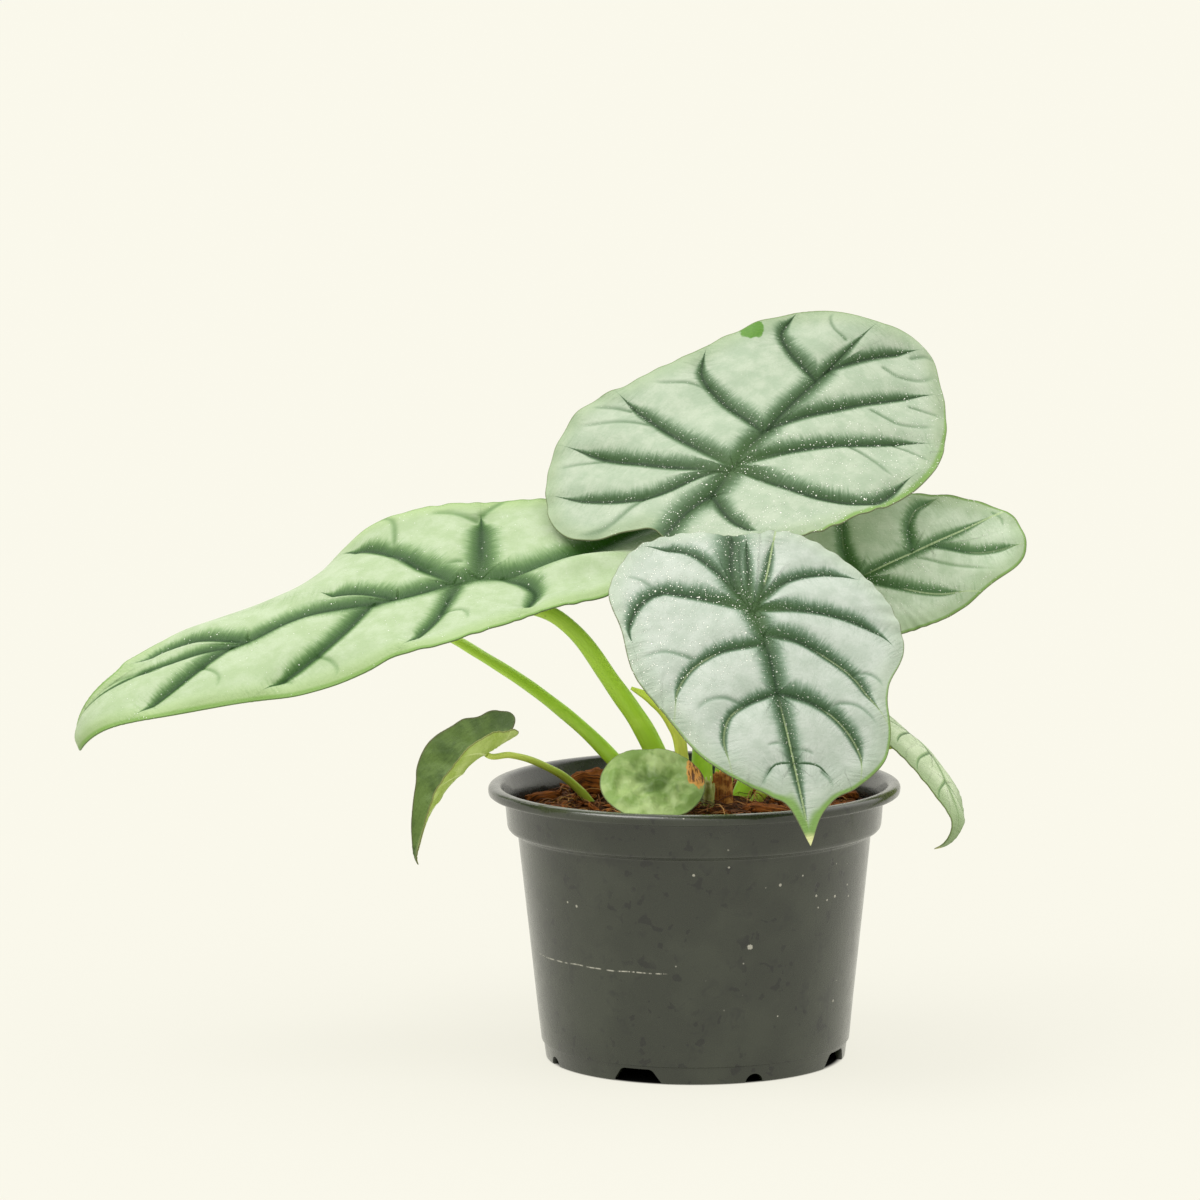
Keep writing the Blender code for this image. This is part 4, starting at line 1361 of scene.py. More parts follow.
class Foliage:
    """All leaf blades of the plant."""

    ROUND_EDGE = (20, 20, 20, 20, 20, 20, 19.5, 19, 18, 17, 16, 15)
    FRONT = BladeShape(
        hub=(21.0, -56.0, 174.1), length=118.0, heading=-70.0, dip=44.5, roll=-7.5,
        droop=32.0, base_droop=45.0, cup=-0.16, fold=-0.11,
        left=(94, 86, 80, 78, 74, 58, 57, 51, 48, 45, 40, 39),
        right=(94, 81, 75, 70, 64, 55, 50, 47, 53, 53, 46, 39))
    TOP = BladeShape(
        hub=(16.7, 20.0, 220.5), length=150.0, heading=50.5, dip=-29.0, roll=-19.0,
        droop=10.0, base_droop=31.0, cup=-0.05, fold=-0.09, twist=0.66, hook=70.0,
        hook_from=0.66,
        left=(101, 98, 93, 85, 74, 63, 62, 73, 74, 68, 46, 48),
        right=(101, 105, 110, 102, 90, 76, 60, 52, 50, 50, 51, 48))
    LEFT = BladeShape(
        hub=(-78.7, 4.0, 178.9), length=165.0, heading=190.0, dip=8.0, roll=19.5,
        droop=20.0, base_droop=-3.0, fold=0.08, hook=140.0, hook_from=0.85,
        left_fall=(0.0, 1.27), right_fall=(-0.14, 1.57), fall_span=(0.05, 0.5),
        left=(171, 167, 150, 116, 85, 62, 53, 46, 46, 57, 66, 71),
        right=(171, 146, 135, 118, 93, 86, 56, 49, 51, 63, 74, 71))
    RIGHT = BladeShape(
        hub=(65.0, 48.0, 173.8), length=80.0, heading=30.0, dip=-18.5, roll=-49.5,
        droop=9.0, cup=-0.15, twist=0.08,
        left=(68, 65, 60, 53, 45, 42, 41, 41, 40, 40, 40, 39),
        right=(68, 70, 70, 67, 51, 40, 31, 28, 32, 36, 38, 39))
    BACK = BladeShape(
        hub=(-111.8, 70.0, 160.3), length=80.0, heading=152.0, dip=22.0, roll=10.0,
        droop=20.0, fold=0.05, left=scaled_heart(78.0), right=scaled_heart(78.0))
    SMALL_LEFT = BladeShape(
        hub=(-75.6, -46.0, 121.4), length=56.0, heading=201.5, dip=28.0, roll=14.0,
        droop=66.0, fold=1.15, hook=110.0, left_fall=(-0.6, 0.0),
        left=(52, 44, 37, 30, 25, 20, 16, 14, 13, 14, 13, 7),
        right=(52, 45, 36, 28, 23, 18, 13, 12, 12, 16, 17, 7))
    ROUND = BladeShape(
        hub=(-15.2, -40.0, 109.7), length=30.0, heading=-84.0, dip=34.0, roll=0.0,
        droop=10.0, cup=-0.12, left=ROUND_EDGE, right=ROUND_EDGE)
    LOW_RIGHT = BladeShape(
        hub=(80.3, 8.0, 118.7), length=58.0, heading=-52.0, dip=24.5, roll=28.5,
        droop=41.5, fold=-0.29, hook=88.0, hook_from=0.7, right_fall=(0.1, 0.1),
        left=scaled_heart(60.0), right=scaled_heart(60.0))
    FRONT_VEINS = LeafVeins(
        midrib=vein(6.2, -35.9, 2.3, -14.1, -3, 0, 0, 47, 0.4, 94, 0, line=0.9, line_from=0.62,
                    taper=0.66),
        right=(
            vein(3.2, -7.7, -2.9, -22.5, -8.6, -33.7, -15.4, -42.3, -29.7),
            vein(3.7, 0, 0, -7, -11.3, -12.9, -20.9, -17, -29.5, -12.7, -38.7, -4.1, -44.1, 5.3,
                 -44.5),
            vein(2.5, 15.3, -2.5, 15.4, -16.9, 19.3, -26.6, 27.7, -34, 34.7, -36.3, line=0.45),
            vein(2.1, 36, -2, 37.8, -11.2, 41.6, -18.3, 49.5, -22.2, 59.7, -22.2, line=0.5),
            vein(0.5, 63, -0.7, 63.4, -7.4, 67, -11)),
        left=(
            vein(2.6, -1.5, 2.6, -16.1, 10.1, -35.1, 18, line=1.0),
            vein(2.7, -6.2, 7.4, -12.2, 15.6, -15.6, 25.8, -15.7, 36, -11.2, 44.9),
            vein(3.5, 0, 0, 1.4, 16.1, 3.7, 28.3, 8.1, 38, 14.1, 45.9, 20, 49.5),
            vein(3.5, 12.3, 4, 14.8, 12.5, 21.9, 22.4, 30.9, 30.3, 41.2, 34.5, 48.3, 37.1,
                 line=0.5),
            vein(3.5, 37, 3.6, 40.4, 11, 46.2, 18.1, 54.4, 23.5, 63.1, 25.8, 68.8, 24.5,
                 line=0.6),
            vein(0.5, 63.3, 0.7, 65.8, 9.3, 70.3, 12.5),
            vein(2.9, -5, 0.6, -18, 3.6, -37, 8)),
        minor=(
            vein(1.2, -16.2, -30.1, -21.4, -32.5, -26.5, -36.4, -29.7, -40.8),
            vein(1.1, 15.7, -25.4, 12.7, -29.8, 10.2, -35, 10.4, -40.2, 10.8, -44.7),
            vein(1.1, 37.3, -13.7, 34.4, -17.4, 33.6, -22.3, 35, -26.9, 39.2, -30),
            vein(0.9, 64.3, -8.7, 67.6, -11.5, 70.5, -12.5),
            vein(0.9, 67.8, 10, 71.8, 12.2, 74.8, 12.3),
            vein(1.0, 44.1, 17, 42.5, 22.9, 44.1, 28.7, 48.4, 32.4, 55, 34.7),
            vein(1.0, 30.9, 31.2, 30.7, 35.2, 33.8, 39.1, 38.1, 40.4),
            vein(0.9, -42, -3.6, -39.1, 0.1, -34.6, 1.1),
            vein(0.8, 55.6, -0.5, 55, -5.2, 55.8, -9),
            vein(0.8, 58.6, 0.6, 59.7, 6.5, 62, 9)))
    TOP_VEINS = LeafVeins(
        midrib=vein(6.8, -45, 2.1, -30, 1.4, -21, -1.9, 0, 0, 50, 0.8, 98, 1.6, taper=0.6),
        right=(
            vein(3.6, 2, -3.1, 32, -24, 63.8, -45.5),
            vein(3.3, 28.2, -2.7, 58, -17, 88.8, -31.1),
            vein(3.0, 62.6, 1.3, 84, -7, 103.7, -14.9),
            vein(4.3, -3.9, -7.3, 0.2, -36, 10.3, -49.5, 39.6, -52),
            vein(3.8, -21, -1.9, -29.5, -17.2, -30.8, -29.8)),
        left=(
            vein(4.0, -3.4, 2.6, 1, 26.9, 5.7, 46.7, 11.3, 61.4),
            vein(4.0, -9, 1.2, -14.9, 30.9, -16.9, 47.8, -16.4, 68),
            vein(3.4, -12.8, 5.7, -30.8, 22.7, -37.2, 43.5, -38.6, 59.2),
            vein(4.0, 19.8, 5.9, 25, 23.6, 33.1, 38.4, 44, 43.4),
            vein(3.8, 57.1, 5.4, 61.8, 17.8, 67, 24.4, 78.8, 25.4)),
        minor=(
            vein(2.2, -28.5, 21.9, -50.4, 29.8, -55.6, 41.8),
            vein(0.9, 80.6, 4.5, 82, 10.8, 85.9, 14.7, 89.9, 15),
            vein(1.1, 81.8, -12.4, 82.1, -17.6, 86.7, -22.9, 93.7, -25.3, 99.4, -25.5),
            vein(0.8, 97, -15.5, 104.4, -19.3, 107.5, -22.7),
            vein(1.1, 58.3, -21.7, 58, -26.9, 58.9, -31.7, 63, -35.8, 74.4, -41.7),
            vein(0.9, 73.1, -29.5, 77.2, -35.5, 81.5, -39.6),
            vein(1.6, 34.7, -28, 32.6, -40, 31.5, -46.1, 32.5, -50.9),
            vein(1.0, 50.2, -37.5, 51.7, -45.6, 53.7, -52.1),
            vein(1.2, 28.2, 32, 25.7, 40.6, 22.7, 45.9, 20.1, 53.8),
            vein(1.1, 6.3, 52.6, 4.6, 60.5, 1.5, 69),
            vein(1.2, 2.6, 42, -1.8, 55.4, -5, 62.9, -7.8, 69.8),
            vein(1.0, -18, 50, -23.3, 58.5, -27.6, 65.6)))
    LEFT_VEINS = LeafVeins(
        midrib=vein(9.0, -66.2, -14.2, -13.2, 1.7, 0, 0, 36.4, 3, 64.5, -2.5, 92.7, 2.7, 109.2,
                    -1.9, 125.7, -3.3, 144.7, -0.6, 166, 0, taper=0.76),
        right=(
            vein(6.6, 0, 0, -4.5, -22, -8.2, -40.9, taper=0.3),
            vein(4.8, 17.8, -12.4, 26.6, -26.5, 36.4, -41.8, 44.8, -52.9),
            vein(4.3, 35.9, -0.1, 47.3, -9.5, 58.5, -14),
            vein(3.4, 93.9, -1, 109.5, -13.6, 121.3, -16, 133.7, -10.4)),
        left=(
            vein(4.3, 10.8, 5.4, 21.8, 28.3, 35.9, 40.8),
            vein(4.6, -10.3, 7.5, -16.5, 21.4, -9.1, 38.4),
            vein(4.3, 45.8, 7.1, 61.7, 22.5, 78.3, 30.3, 89.7, 33.5),
            vein(4.0, 98.1, 3.6, 116.1, 13.2, 136.6, 22.7)),
        minor=(
            vein(2.3, 5, -12, 17.8, -14, 26.6, -26.5),
            vein(1.7, 28.7, -30.4, 25.1, -39.6, 24, -49.7, 27, -56, 31.5, -61.8, 40.5, -63.4),
            vein(1.1, 66.2, 26, 62, 32.3, 61.3, 37.4, 63.9, 39.3),
            vein(1.1, 17.5, 24.5, 11.4, 29, 10.7, 39.9),
            vein(1.0, 108, 9.5, 103.2, 21.4, 105.8, 26.9),
            vein(0.9, 84.5, 31.5, 78.9, 32.3, 78.6, 35.5),
            vein(1.4, 124.2, 0.4, 135.6, -4, 148.7, -1.6),
            vein(1.9, -6, -38, 7.5, -44.2, 12.6, -43.5),
            vein(1.9, -8, -39.5, -21, -46.5, -31, -46)))
    RIGHT_VEINS = LeafVeins(
        midrib=vein(3.6, -30, 0, 0, 0, 33, 0.3, 65.9, 0.4, line=1.0),
        right=(
            vein(3.1, 0.1, -3.9, 8.2, -10.6, 18, -17.3, 32.3, -23.2, line=0.7),
            vein(2.5, 33.4, -2, 44.9, -9.8, 65.3, -14.3, line=0.3),
            vein(3.2, -6, -3, -16, -14, -18, -27, line=0.2)),
        left=(
            vein(3.1, 23.6, 3, 27, 10, 33.4, 15, 45.8, 16, line=0.3),
            vein(4.0, -3.6, 3, -1.5, 12, 2.6, 20, 9, 29, line=0.2),
            vein(3.2, -8, 3, -19, 13, -24, 27, line=0.2)),
        minor=(
            vein(0.9, 20.5, -1, 33, -11.5, 43, -16.9, 50.6, -20.3),
            vein(0.7, 61.7, 1.6, 63.3, -1.9, 61.4, -5.9)))

    HEART_ROWS = (((1, 2), (7, 14), (15, 22)), ((18, 2), (25, 13), (36, 20)),
                  ((38, 2), (45, 9), (54, 12)), ((-3, 3), (-13, 10), (-17, 20)))
    FINISHES = (
        LeafBack(),
        LeafBack("leaf_back_young", "A9C25C/1.0", "C6DA84/1.0", "D6E69A/1.0", "8E8A55"),
        SilverFace("leaf_silver_top", sparkle=0.6, bare_spot=(61.2, 34.2),
                   dew_lean=(-0.002, -0.008)),
        SilverFace("leaf_silver_front", pale="E0EAE0", silver="CBD9CB", green_tint="B4CFA0",
                   dark="395E34", deep="1D401C", feather="86A68A", sparkle=0.95, tint=0.30,
                   dew_lean=(-0.007, -0.009)),
        SilverFace("leaf_silver_left", pale="D3E5C0", silver="BFD6A7", green_tint="B5D488",
                   dark="2D591D", deep="18420D", hub="3A6420", edge="6F8A4C",
                   feather="80AA64", sparkle=0.12, tint=0.8, glow=(0.003, 0.016, 0.0)),
        SilverFace("leaf_silver_right", pale="DDEBD4/1.5", silver="C2D6B8/1.5",
                   feather="84A878/1.6", dark="52784A/1.6", deep="3E6339/1.6", sparkle=0.6,
                   tint=0.6, line="D0E6B0/1.6", glow=(0.002, 0.012, 0.0)),
        SilverFace("leaf_silver_low", pale="DDEBC8/1.5", silver="C6DAAE/1.5",
                   feather="A6C48A/1.5", dark="84A46C/1.5", deep="5C8250/1.6",
                   edge="8E9A6A", sparkle=0.04, tint=0.9),
        GreenFace("leaf_green_small", "7A9A48/2.2", "5F8036/2.6", "3A571A/2.6",
                  pale_half=0.75),
        GreenFace("leaf_green_round", "C2DB92/1.6", "9ABD66/1.7", "56792E/1.8",
                  spot_share=0.02, crumple=0.3, hollow_shade=0.75,
                  dry_edge=(-4.0, 16.8, 9.5, 4.6)),
    )

    @classmethod
    def heart_veins(cls, shape: BladeShape, share: float, band: float) -> LeafVeins:
        """Return plain veins for a heart-shaped leaf.

        Args:
            shape: The blade.
            share: Size of the leaf beside one of 78 mm.
            band: Half-width of its dark bands.

        Returns:
            Its veins.
        """
        tip = shape.left[0]
        midrib = vein(band * 1.6, -shape.left[-1] * 0.8, 0.0, 0.0, 0.0, tip * 0.5, 0.4,
                      tip * 0.97, 0.0, line=0.6)
        left, right = (
            tuple(Vein(tuple((u * share, v * share * side) for u, v in row), band)
                  for row in cls.HEART_ROWS) for side in (1.0, -1.0))
        return LeafVeins(midrib, left, right)

    def build(self) -> list[Item]:
        """Build every blade and return their objects."""
        paint = {finish.name: finish.make() for finish in self.FINISHES}
        back, young_back = paint["leaf_back"], paint["leaf_back_young"]
        soft = Relief(quilt=0.9, quilt_width=2.4, wave=0.4, margin_wave=0.2, rib=0.9,
                      thickness=0.5)
        blades = [
            Blade("blade_top", self.TOP, self.TOP_VEINS, paint["leaf_silver_top"], back,
                  cells=220, relief=Relief(quilt=2.5, quilt_width=4.0, margin_wave=0.9),
                  seed=11, tip_size=0.1,
                  rim=((-180, 0.4), (-115, 0.6), (-90, 2.4), (-40, 2.2), (-20, 0.6),
                       (180, 0.4))),
            Blade("blade_left", self.LEFT, self.LEFT_VEINS, paint["leaf_silver_left"], back,
                  cells=220, seed=12,
                  relief=Relief(quilt=3.0, quilt_width=4.6, margin_wave=0.4,
                                bulges=((-38.0, 11.0, 22.0, 7.5, 4.6),)),
                  rim=((-180, 0.8), (-40, 0.6), (-3, 1.5), (3, 1.8), (60, 1.4), (180, 1.0))),
            Blade("blade_front", self.FRONT, self.FRONT_VEINS, paint["leaf_silver_front"],
                  back, cells=196, relief=Relief(quilt=2.2, quilt_width=3.7), seed=13,
                  tip_size=5.5,
                  rim=((-180, 0.3), (-75, 0.4), (-45, 0.8), (-12, 1.3), (-4, 2.2), (0, 4.0),
                       (4, 2.2), (12, 1.6), (45, 0.9), (75, 0.4), (180, 0.3))),
            Blade("blade_right", self.RIGHT, self.RIGHT_VEINS, paint["leaf_silver_right"],
                  back, cells=150, relief=Relief(quilt=2.0, quilt_width=3.4), seed=14,
                  tip_size=0.1, rim=((-180, 0.8), (-60, 1.2), (0, 1.2), (180, 0.5))),
            Blade("blade_back", self.BACK, self.heart_veins(self.BACK, 1.0, 3.2),
                  paint["leaf_silver_left"], back, cells=120, relief=Relief(quilt=2.0),
                  seed=15),
            Blade("blade_low_right", self.LOW_RIGHT,
                  self.heart_veins(self.LOW_RIGHT, 0.75, 0.7), paint["leaf_silver_low"],
                  young_back, cells=92, relief=soft, seed=16),
            Blade("blade_small_left", self.SMALL_LEFT,
                  self.heart_veins(self.SMALL_LEFT, 0.6, 0.8), paint["leaf_green_small"],
                  young_back, Slot.GREEN, cells=80, relief=soft, seed=17),
            Blade("blade_round", self.ROUND, self.heart_veins(self.ROUND, 0.36, 0.6),
                  paint["leaf_green_round"], young_back, Slot.GREEN, cells=96, seed=18,
                  relief=Relief(quilt=0.5, quilt_width=1.8, wave=0.4, margin_wave=0.1,
                                bulges=((-9.0, -4.0, 8.0, 14.0, 1.8),
                                        (6.5, -1.0, 2.5, 7.0, -1.3),
                                        (-2.0, 9.0, 4.0, 4.0, -1.6)),
                                crumple=3.6, rib=0.5, thickness=0.5)),
        ]
        return [blade.build() for blade in blades]


# ---------------------------------------------------------------- stalks


@dataclass
class Stalk:
    """A petiole or shoot: a round tube swept along a smooth path, with its ends closed."""

    name: str
    points: tuple[Point, ...]
    radii: tuple[float, ...]
    material: Paint
    slot: Slot = Slot.STALK
    arrive: Array | None = None
    flare: float = 0.22
    groove: float = 0.10
    columns: int = 24
    rows: int = 64
    seed: int = 1

    KNOT_STEPS = 24
    CAP_ROWS = 2.0
    FOOT_RUN = 7.0
    TOP_RUN = 5.0
    GROOVE_TURN = 4.4
    GROOVE_WIDTH = 0.5

    def path(self) -> tuple[Array, Array]:
        """Return the path's points and its radius at each."""
        curve = bpy.data.curves.new(self.name + "_path", "CURVE")
        curve.dimensions = "3D"
        curve.resolution_u = curve.render_resolution_u = self.KNOT_STEPS
        spline = curve.splines.new("BEZIER")
        spline.bezier_points.add(len(self.points) - 1)
        for knot, point in zip(spline.bezier_points, self.points):
            knot.co = Vector(point)
            knot.handle_left_type = knot.handle_right_type = "AUTO"
        if self.arrive is not None:
            last = spline.bezier_points[-1]
            last.handle_left_type = last.handle_right_type = "FREE"
            last.handle_left = last.co + Vector(self.arrive)
            last.handle_right = last.co - Vector(self.arrive)
        item = link(self.name + "_path", curve)
        graph = bpy.context.evaluated_depsgraph_get()
        mesh = bpy.data.meshes.new_from_object(item.evaluated_get(graph))
        points = read_points(mesh) * MM
        bpy.data.objects.remove(item, do_unlink=True)
        bpy.data.curves.remove(curve)
        bpy.data.meshes.remove(mesh)
        knots = np.linspace(0.0, 1.0, len(self.radii))
        return points, np.interp(np.linspace(0.0, 1.0, len(points)), knots, self.radii)

    def build(self) -> Item:
        """Build the stalk and return its object."""
        line, sizes = self.path()
        stations = stations_of(line)
        total = stations[-1]
        way = unit(np.gradient(line, axis=0))
        across = unit(np.cross(way, (0.0, 1.0, 0.0)))
        up = np.cross(across, way)

        def place(around: Array, run: Array) -> Array:
            """Return the tube's surface points."""
            cap = self.CAP_ROWS / self.rows
            body = np.clip((run - cap) / (1.0 - 2.0 * cap), 0.0, 1.0)
            close = np.minimum(np.clip(run / cap, 0, 1), np.clip((1 - run) / cap, 0, 1))
            where = body * total
            centre, side, rise = (
                np.stack([np.interp(where, stations, part[:, axis]) for axis in range(3)], -1)
                for part in (line, across, up))
            turn = around * 2.0 * math.pi
            radius = np.interp(where, stations, sizes)
            radius = radius * (1.0 + self.flare * np.exp(-where / self.FOOT_RUN))
            radius = radius * (1.0 + 0.05 * np.exp(-(total - where) / self.TOP_RUN))
            groove = np.exp(-((turn - self.GROOVE_TURN) / self.GROOVE_WIDTH) ** 2)
            radius = radius * (1.0 - self.groove * groove)
            radius = radius * (1.0 + 0.02 * waves(self.seed, 17.0, where))
            radius = radius * np.sqrt(np.clip(1.0 - (1.0 - close) ** 2, 0.0, 1.0))
            return (centre + side * (radius * np.cos(turn))[:, None]
                    + rise * (radius * np.sin(turn))[:, None])

        mesh = write_mesh(wrapped_grid(self.columns, self.rows, place), self.name)
        found = read_points(mesh)
        best = np.array([np.argmin(((line - point) ** 2).sum(1)) for point in found])
        gap = found - line[best]
        turn = np.arctan2((gap * up[best]).sum(1), (gap * across[best]).sum(1))
        write_attribute(mesh, "stalk_run", stations[best] / total, np.cos(turn) * 2.0)
        return add_piece(self.name, mesh, self.slot, (self.name,), self.material)


class Stalks:
    """The petioles and the new shoot."""

    TIP_DEPTH = 3.3
    PETIOLES = {
        "left": (Foliage.LEFT, ((-7.0, -4.0, 87.0), (-14.4, -4.0, 114.2),
                                (-29.5, -3.5, 139.1), (-48.8, 1.0, 162.7)), (4.6, 2.3), 14.0),
        "back": (Foliage.BACK, ((-13.0, 7.0, 87.0), (-30.5, 10.0, 109.8),
                                (-52.4, 20.0, 128.6), (-86.0, 46.0, 147.2)), (3.3, 1.5), 10.0),
        "front": (Foliage.FRONT, ((9.5, -7.0, 87.0), (11.5, -8.5, 112.0),
                                  (15.0, -19.0, 140.0)), (3.9, 2.1), 18.0),
        "top": (Foliage.TOP, ((2.0, 9.5, 87.0), (4.0, 15.0, 125.0), (9.0, 27.0, 168.0),
                              (14.0, 36.0, 198.0)), (4.2, 2.2), 14.0),
        "right": (Foliage.RIGHT, ((14.0, 2.5, 87.0), (24.0, 12.0, 112.0),
                                  (42.0, 34.0, 140.0), (57.0, 55.0, 158.0)), (3.5, 1.8), 12.0),
        "low_right": (Foliage.LOW_RIGHT, ((17.0, -6.0, 88.0), (32.0, -2.0, 106.0),
                                          (54.0, 4.0, 117.0)), (2.3, 1.4), 14.0),
        "small_left": (Foliage.SMALL_LEFT,
                       ((-33.0, 0.0, 84.0), (-37.7, -2.0, 93.7), (-44.3, -8.0, 102.6),
                        (-53.9, -21.0, 111.4), (-66.5, -37.0, 118.4)), (1.9, 1.0), 4.0),
        "round": (Foliage.ROUND, ((-17.0, -24.0, 82.0), (-17.5, -24.5, 97.0),
                                  (-16.5, -29.0, 104.0)), (1.7, 1.0), 5.0),
    }
    NEW_SHOOT = ((-3.5, -13.5, 89.0), (-4.6, -12.5, 115.0), (-7.2, -12.5, 125.5),
                 (-14.5, -13.0, 134.5), (-23.0, -13.0, 139.4))
    NEW_SHOOT_RADII = (2.2, 2.3, 2.7, 2.3, 0.6)

    def petiole(self, key: str, material: Paint, seed: int) -> Item:
        """Build the petiole of one blade.

        Args:
            key: The blade's name.
            material: Its finish.
            seed: Seed of its slight unevenness.

        Returns:
            The petiole's object.
        """
        shape, points, (first, last), arrive = self.PETIOLES[key]
        below = -shape.axes()[2]
        way = unit(unit(np.array(points[-1]) - np.array(shape.hub)) + below)
        end = np.array(shape.hub) + below * self.TIP_DEPTH * min(1.0, last / 2.0)
        knots = (*points, tuple(end))
        radii = tuple(np.linspace(first, last, len(knots)))
        return Stalk("petiole_" + key, knots, radii, material, arrive=way * arrive,
                     seed=seed).build()

    def build(self) -> list[Item]:
        """Build every stalk and return their objects."""
        green = StalkSkin().make()
        yellow = StalkSkin("stalk_yellow", "A9C040/1.0", "B2C84A/1.0",
                           "C4D466/1.0", "96AE38/1.0").make()
        made = [self.petiole(key, yellow if key in ("low_right", "small_left") else green,
                             21 + index)
                for index, key in enumerate(self.PETIOLES)]
        shoot = StalkSkin("shoot_green", "C2CF58/0.8", "CED85C/0.8",
                          "B4CB46/0.8", "A8BE44/0.8").make()
        made.append(Stalk("new_shoot", self.NEW_SHOOT, self.NEW_SHOOT_RADII, shoot,
                          Slot.SHOOT, groove=0.3, seed=40).build())
        return made


@dataclass
class Sheath:
    """A thin curled leaf base standing at the crown."""

    name: str
    centre: FlatPoint
    radius: float
    height: float
    first: float
    sweep: float
    flare: float
    material: Paint
    slot: Slot
    thickness: float = 0.45
    seed: int = 1

    def build(self) -> Item:
        """Build the curled strip and return its object."""
        def place(around: Array, share: Array) -> Array:
            """Return the strip's points."""
            turn = np.radians(self.first + self.sweep * around)
            edge = 1.0 - np.abs(2.0 * around - 1.0) ** 3 * 0.35
            ragged = 1.0 + 0.10 * waves(self.seed, 0.22, around) * share
            rise = self.height * share * edge * ragged
            out = self.radius * (1.0 + self.flare * share)
            out = out + (0.5 * np.sin(3.0 * turn)
                         + 0.35 * waves(self.seed + 1, 0.5, around, share * 0.7)) * share
            x = self.centre[0] + out * np.cos(turn)
            y = self.centre[1] + out * np.sin(turn)
            foot = PottingMix.level(np.hypot(x, y)) - 0.8
            return np.stack([x, y, foot + rise], -1)

        shape = wrapped_grid(40, 16, place)
        bmesh.ops.solidify(shape, geom=shape.faces[:], thickness=self.thickness * MM)
        bmesh.ops.recalc_face_normals(shape, faces=shape.faces)
        mesh = write_mesh(shape, self.name)
        points = read_points(mesh)
        turn = np.arctan2(points[:, 1] - self.centre[1], points[:, 0] - self.centre[0])
        low = points[:, 2].min()
        write_attribute(mesh, "stalk_run", turn, (points[:, 2] - low) / self.height)
        return add_piece(self.name, mesh, self.slot, (self.name,), self.material)


# ---------------------------------------------------------------- pot and mix


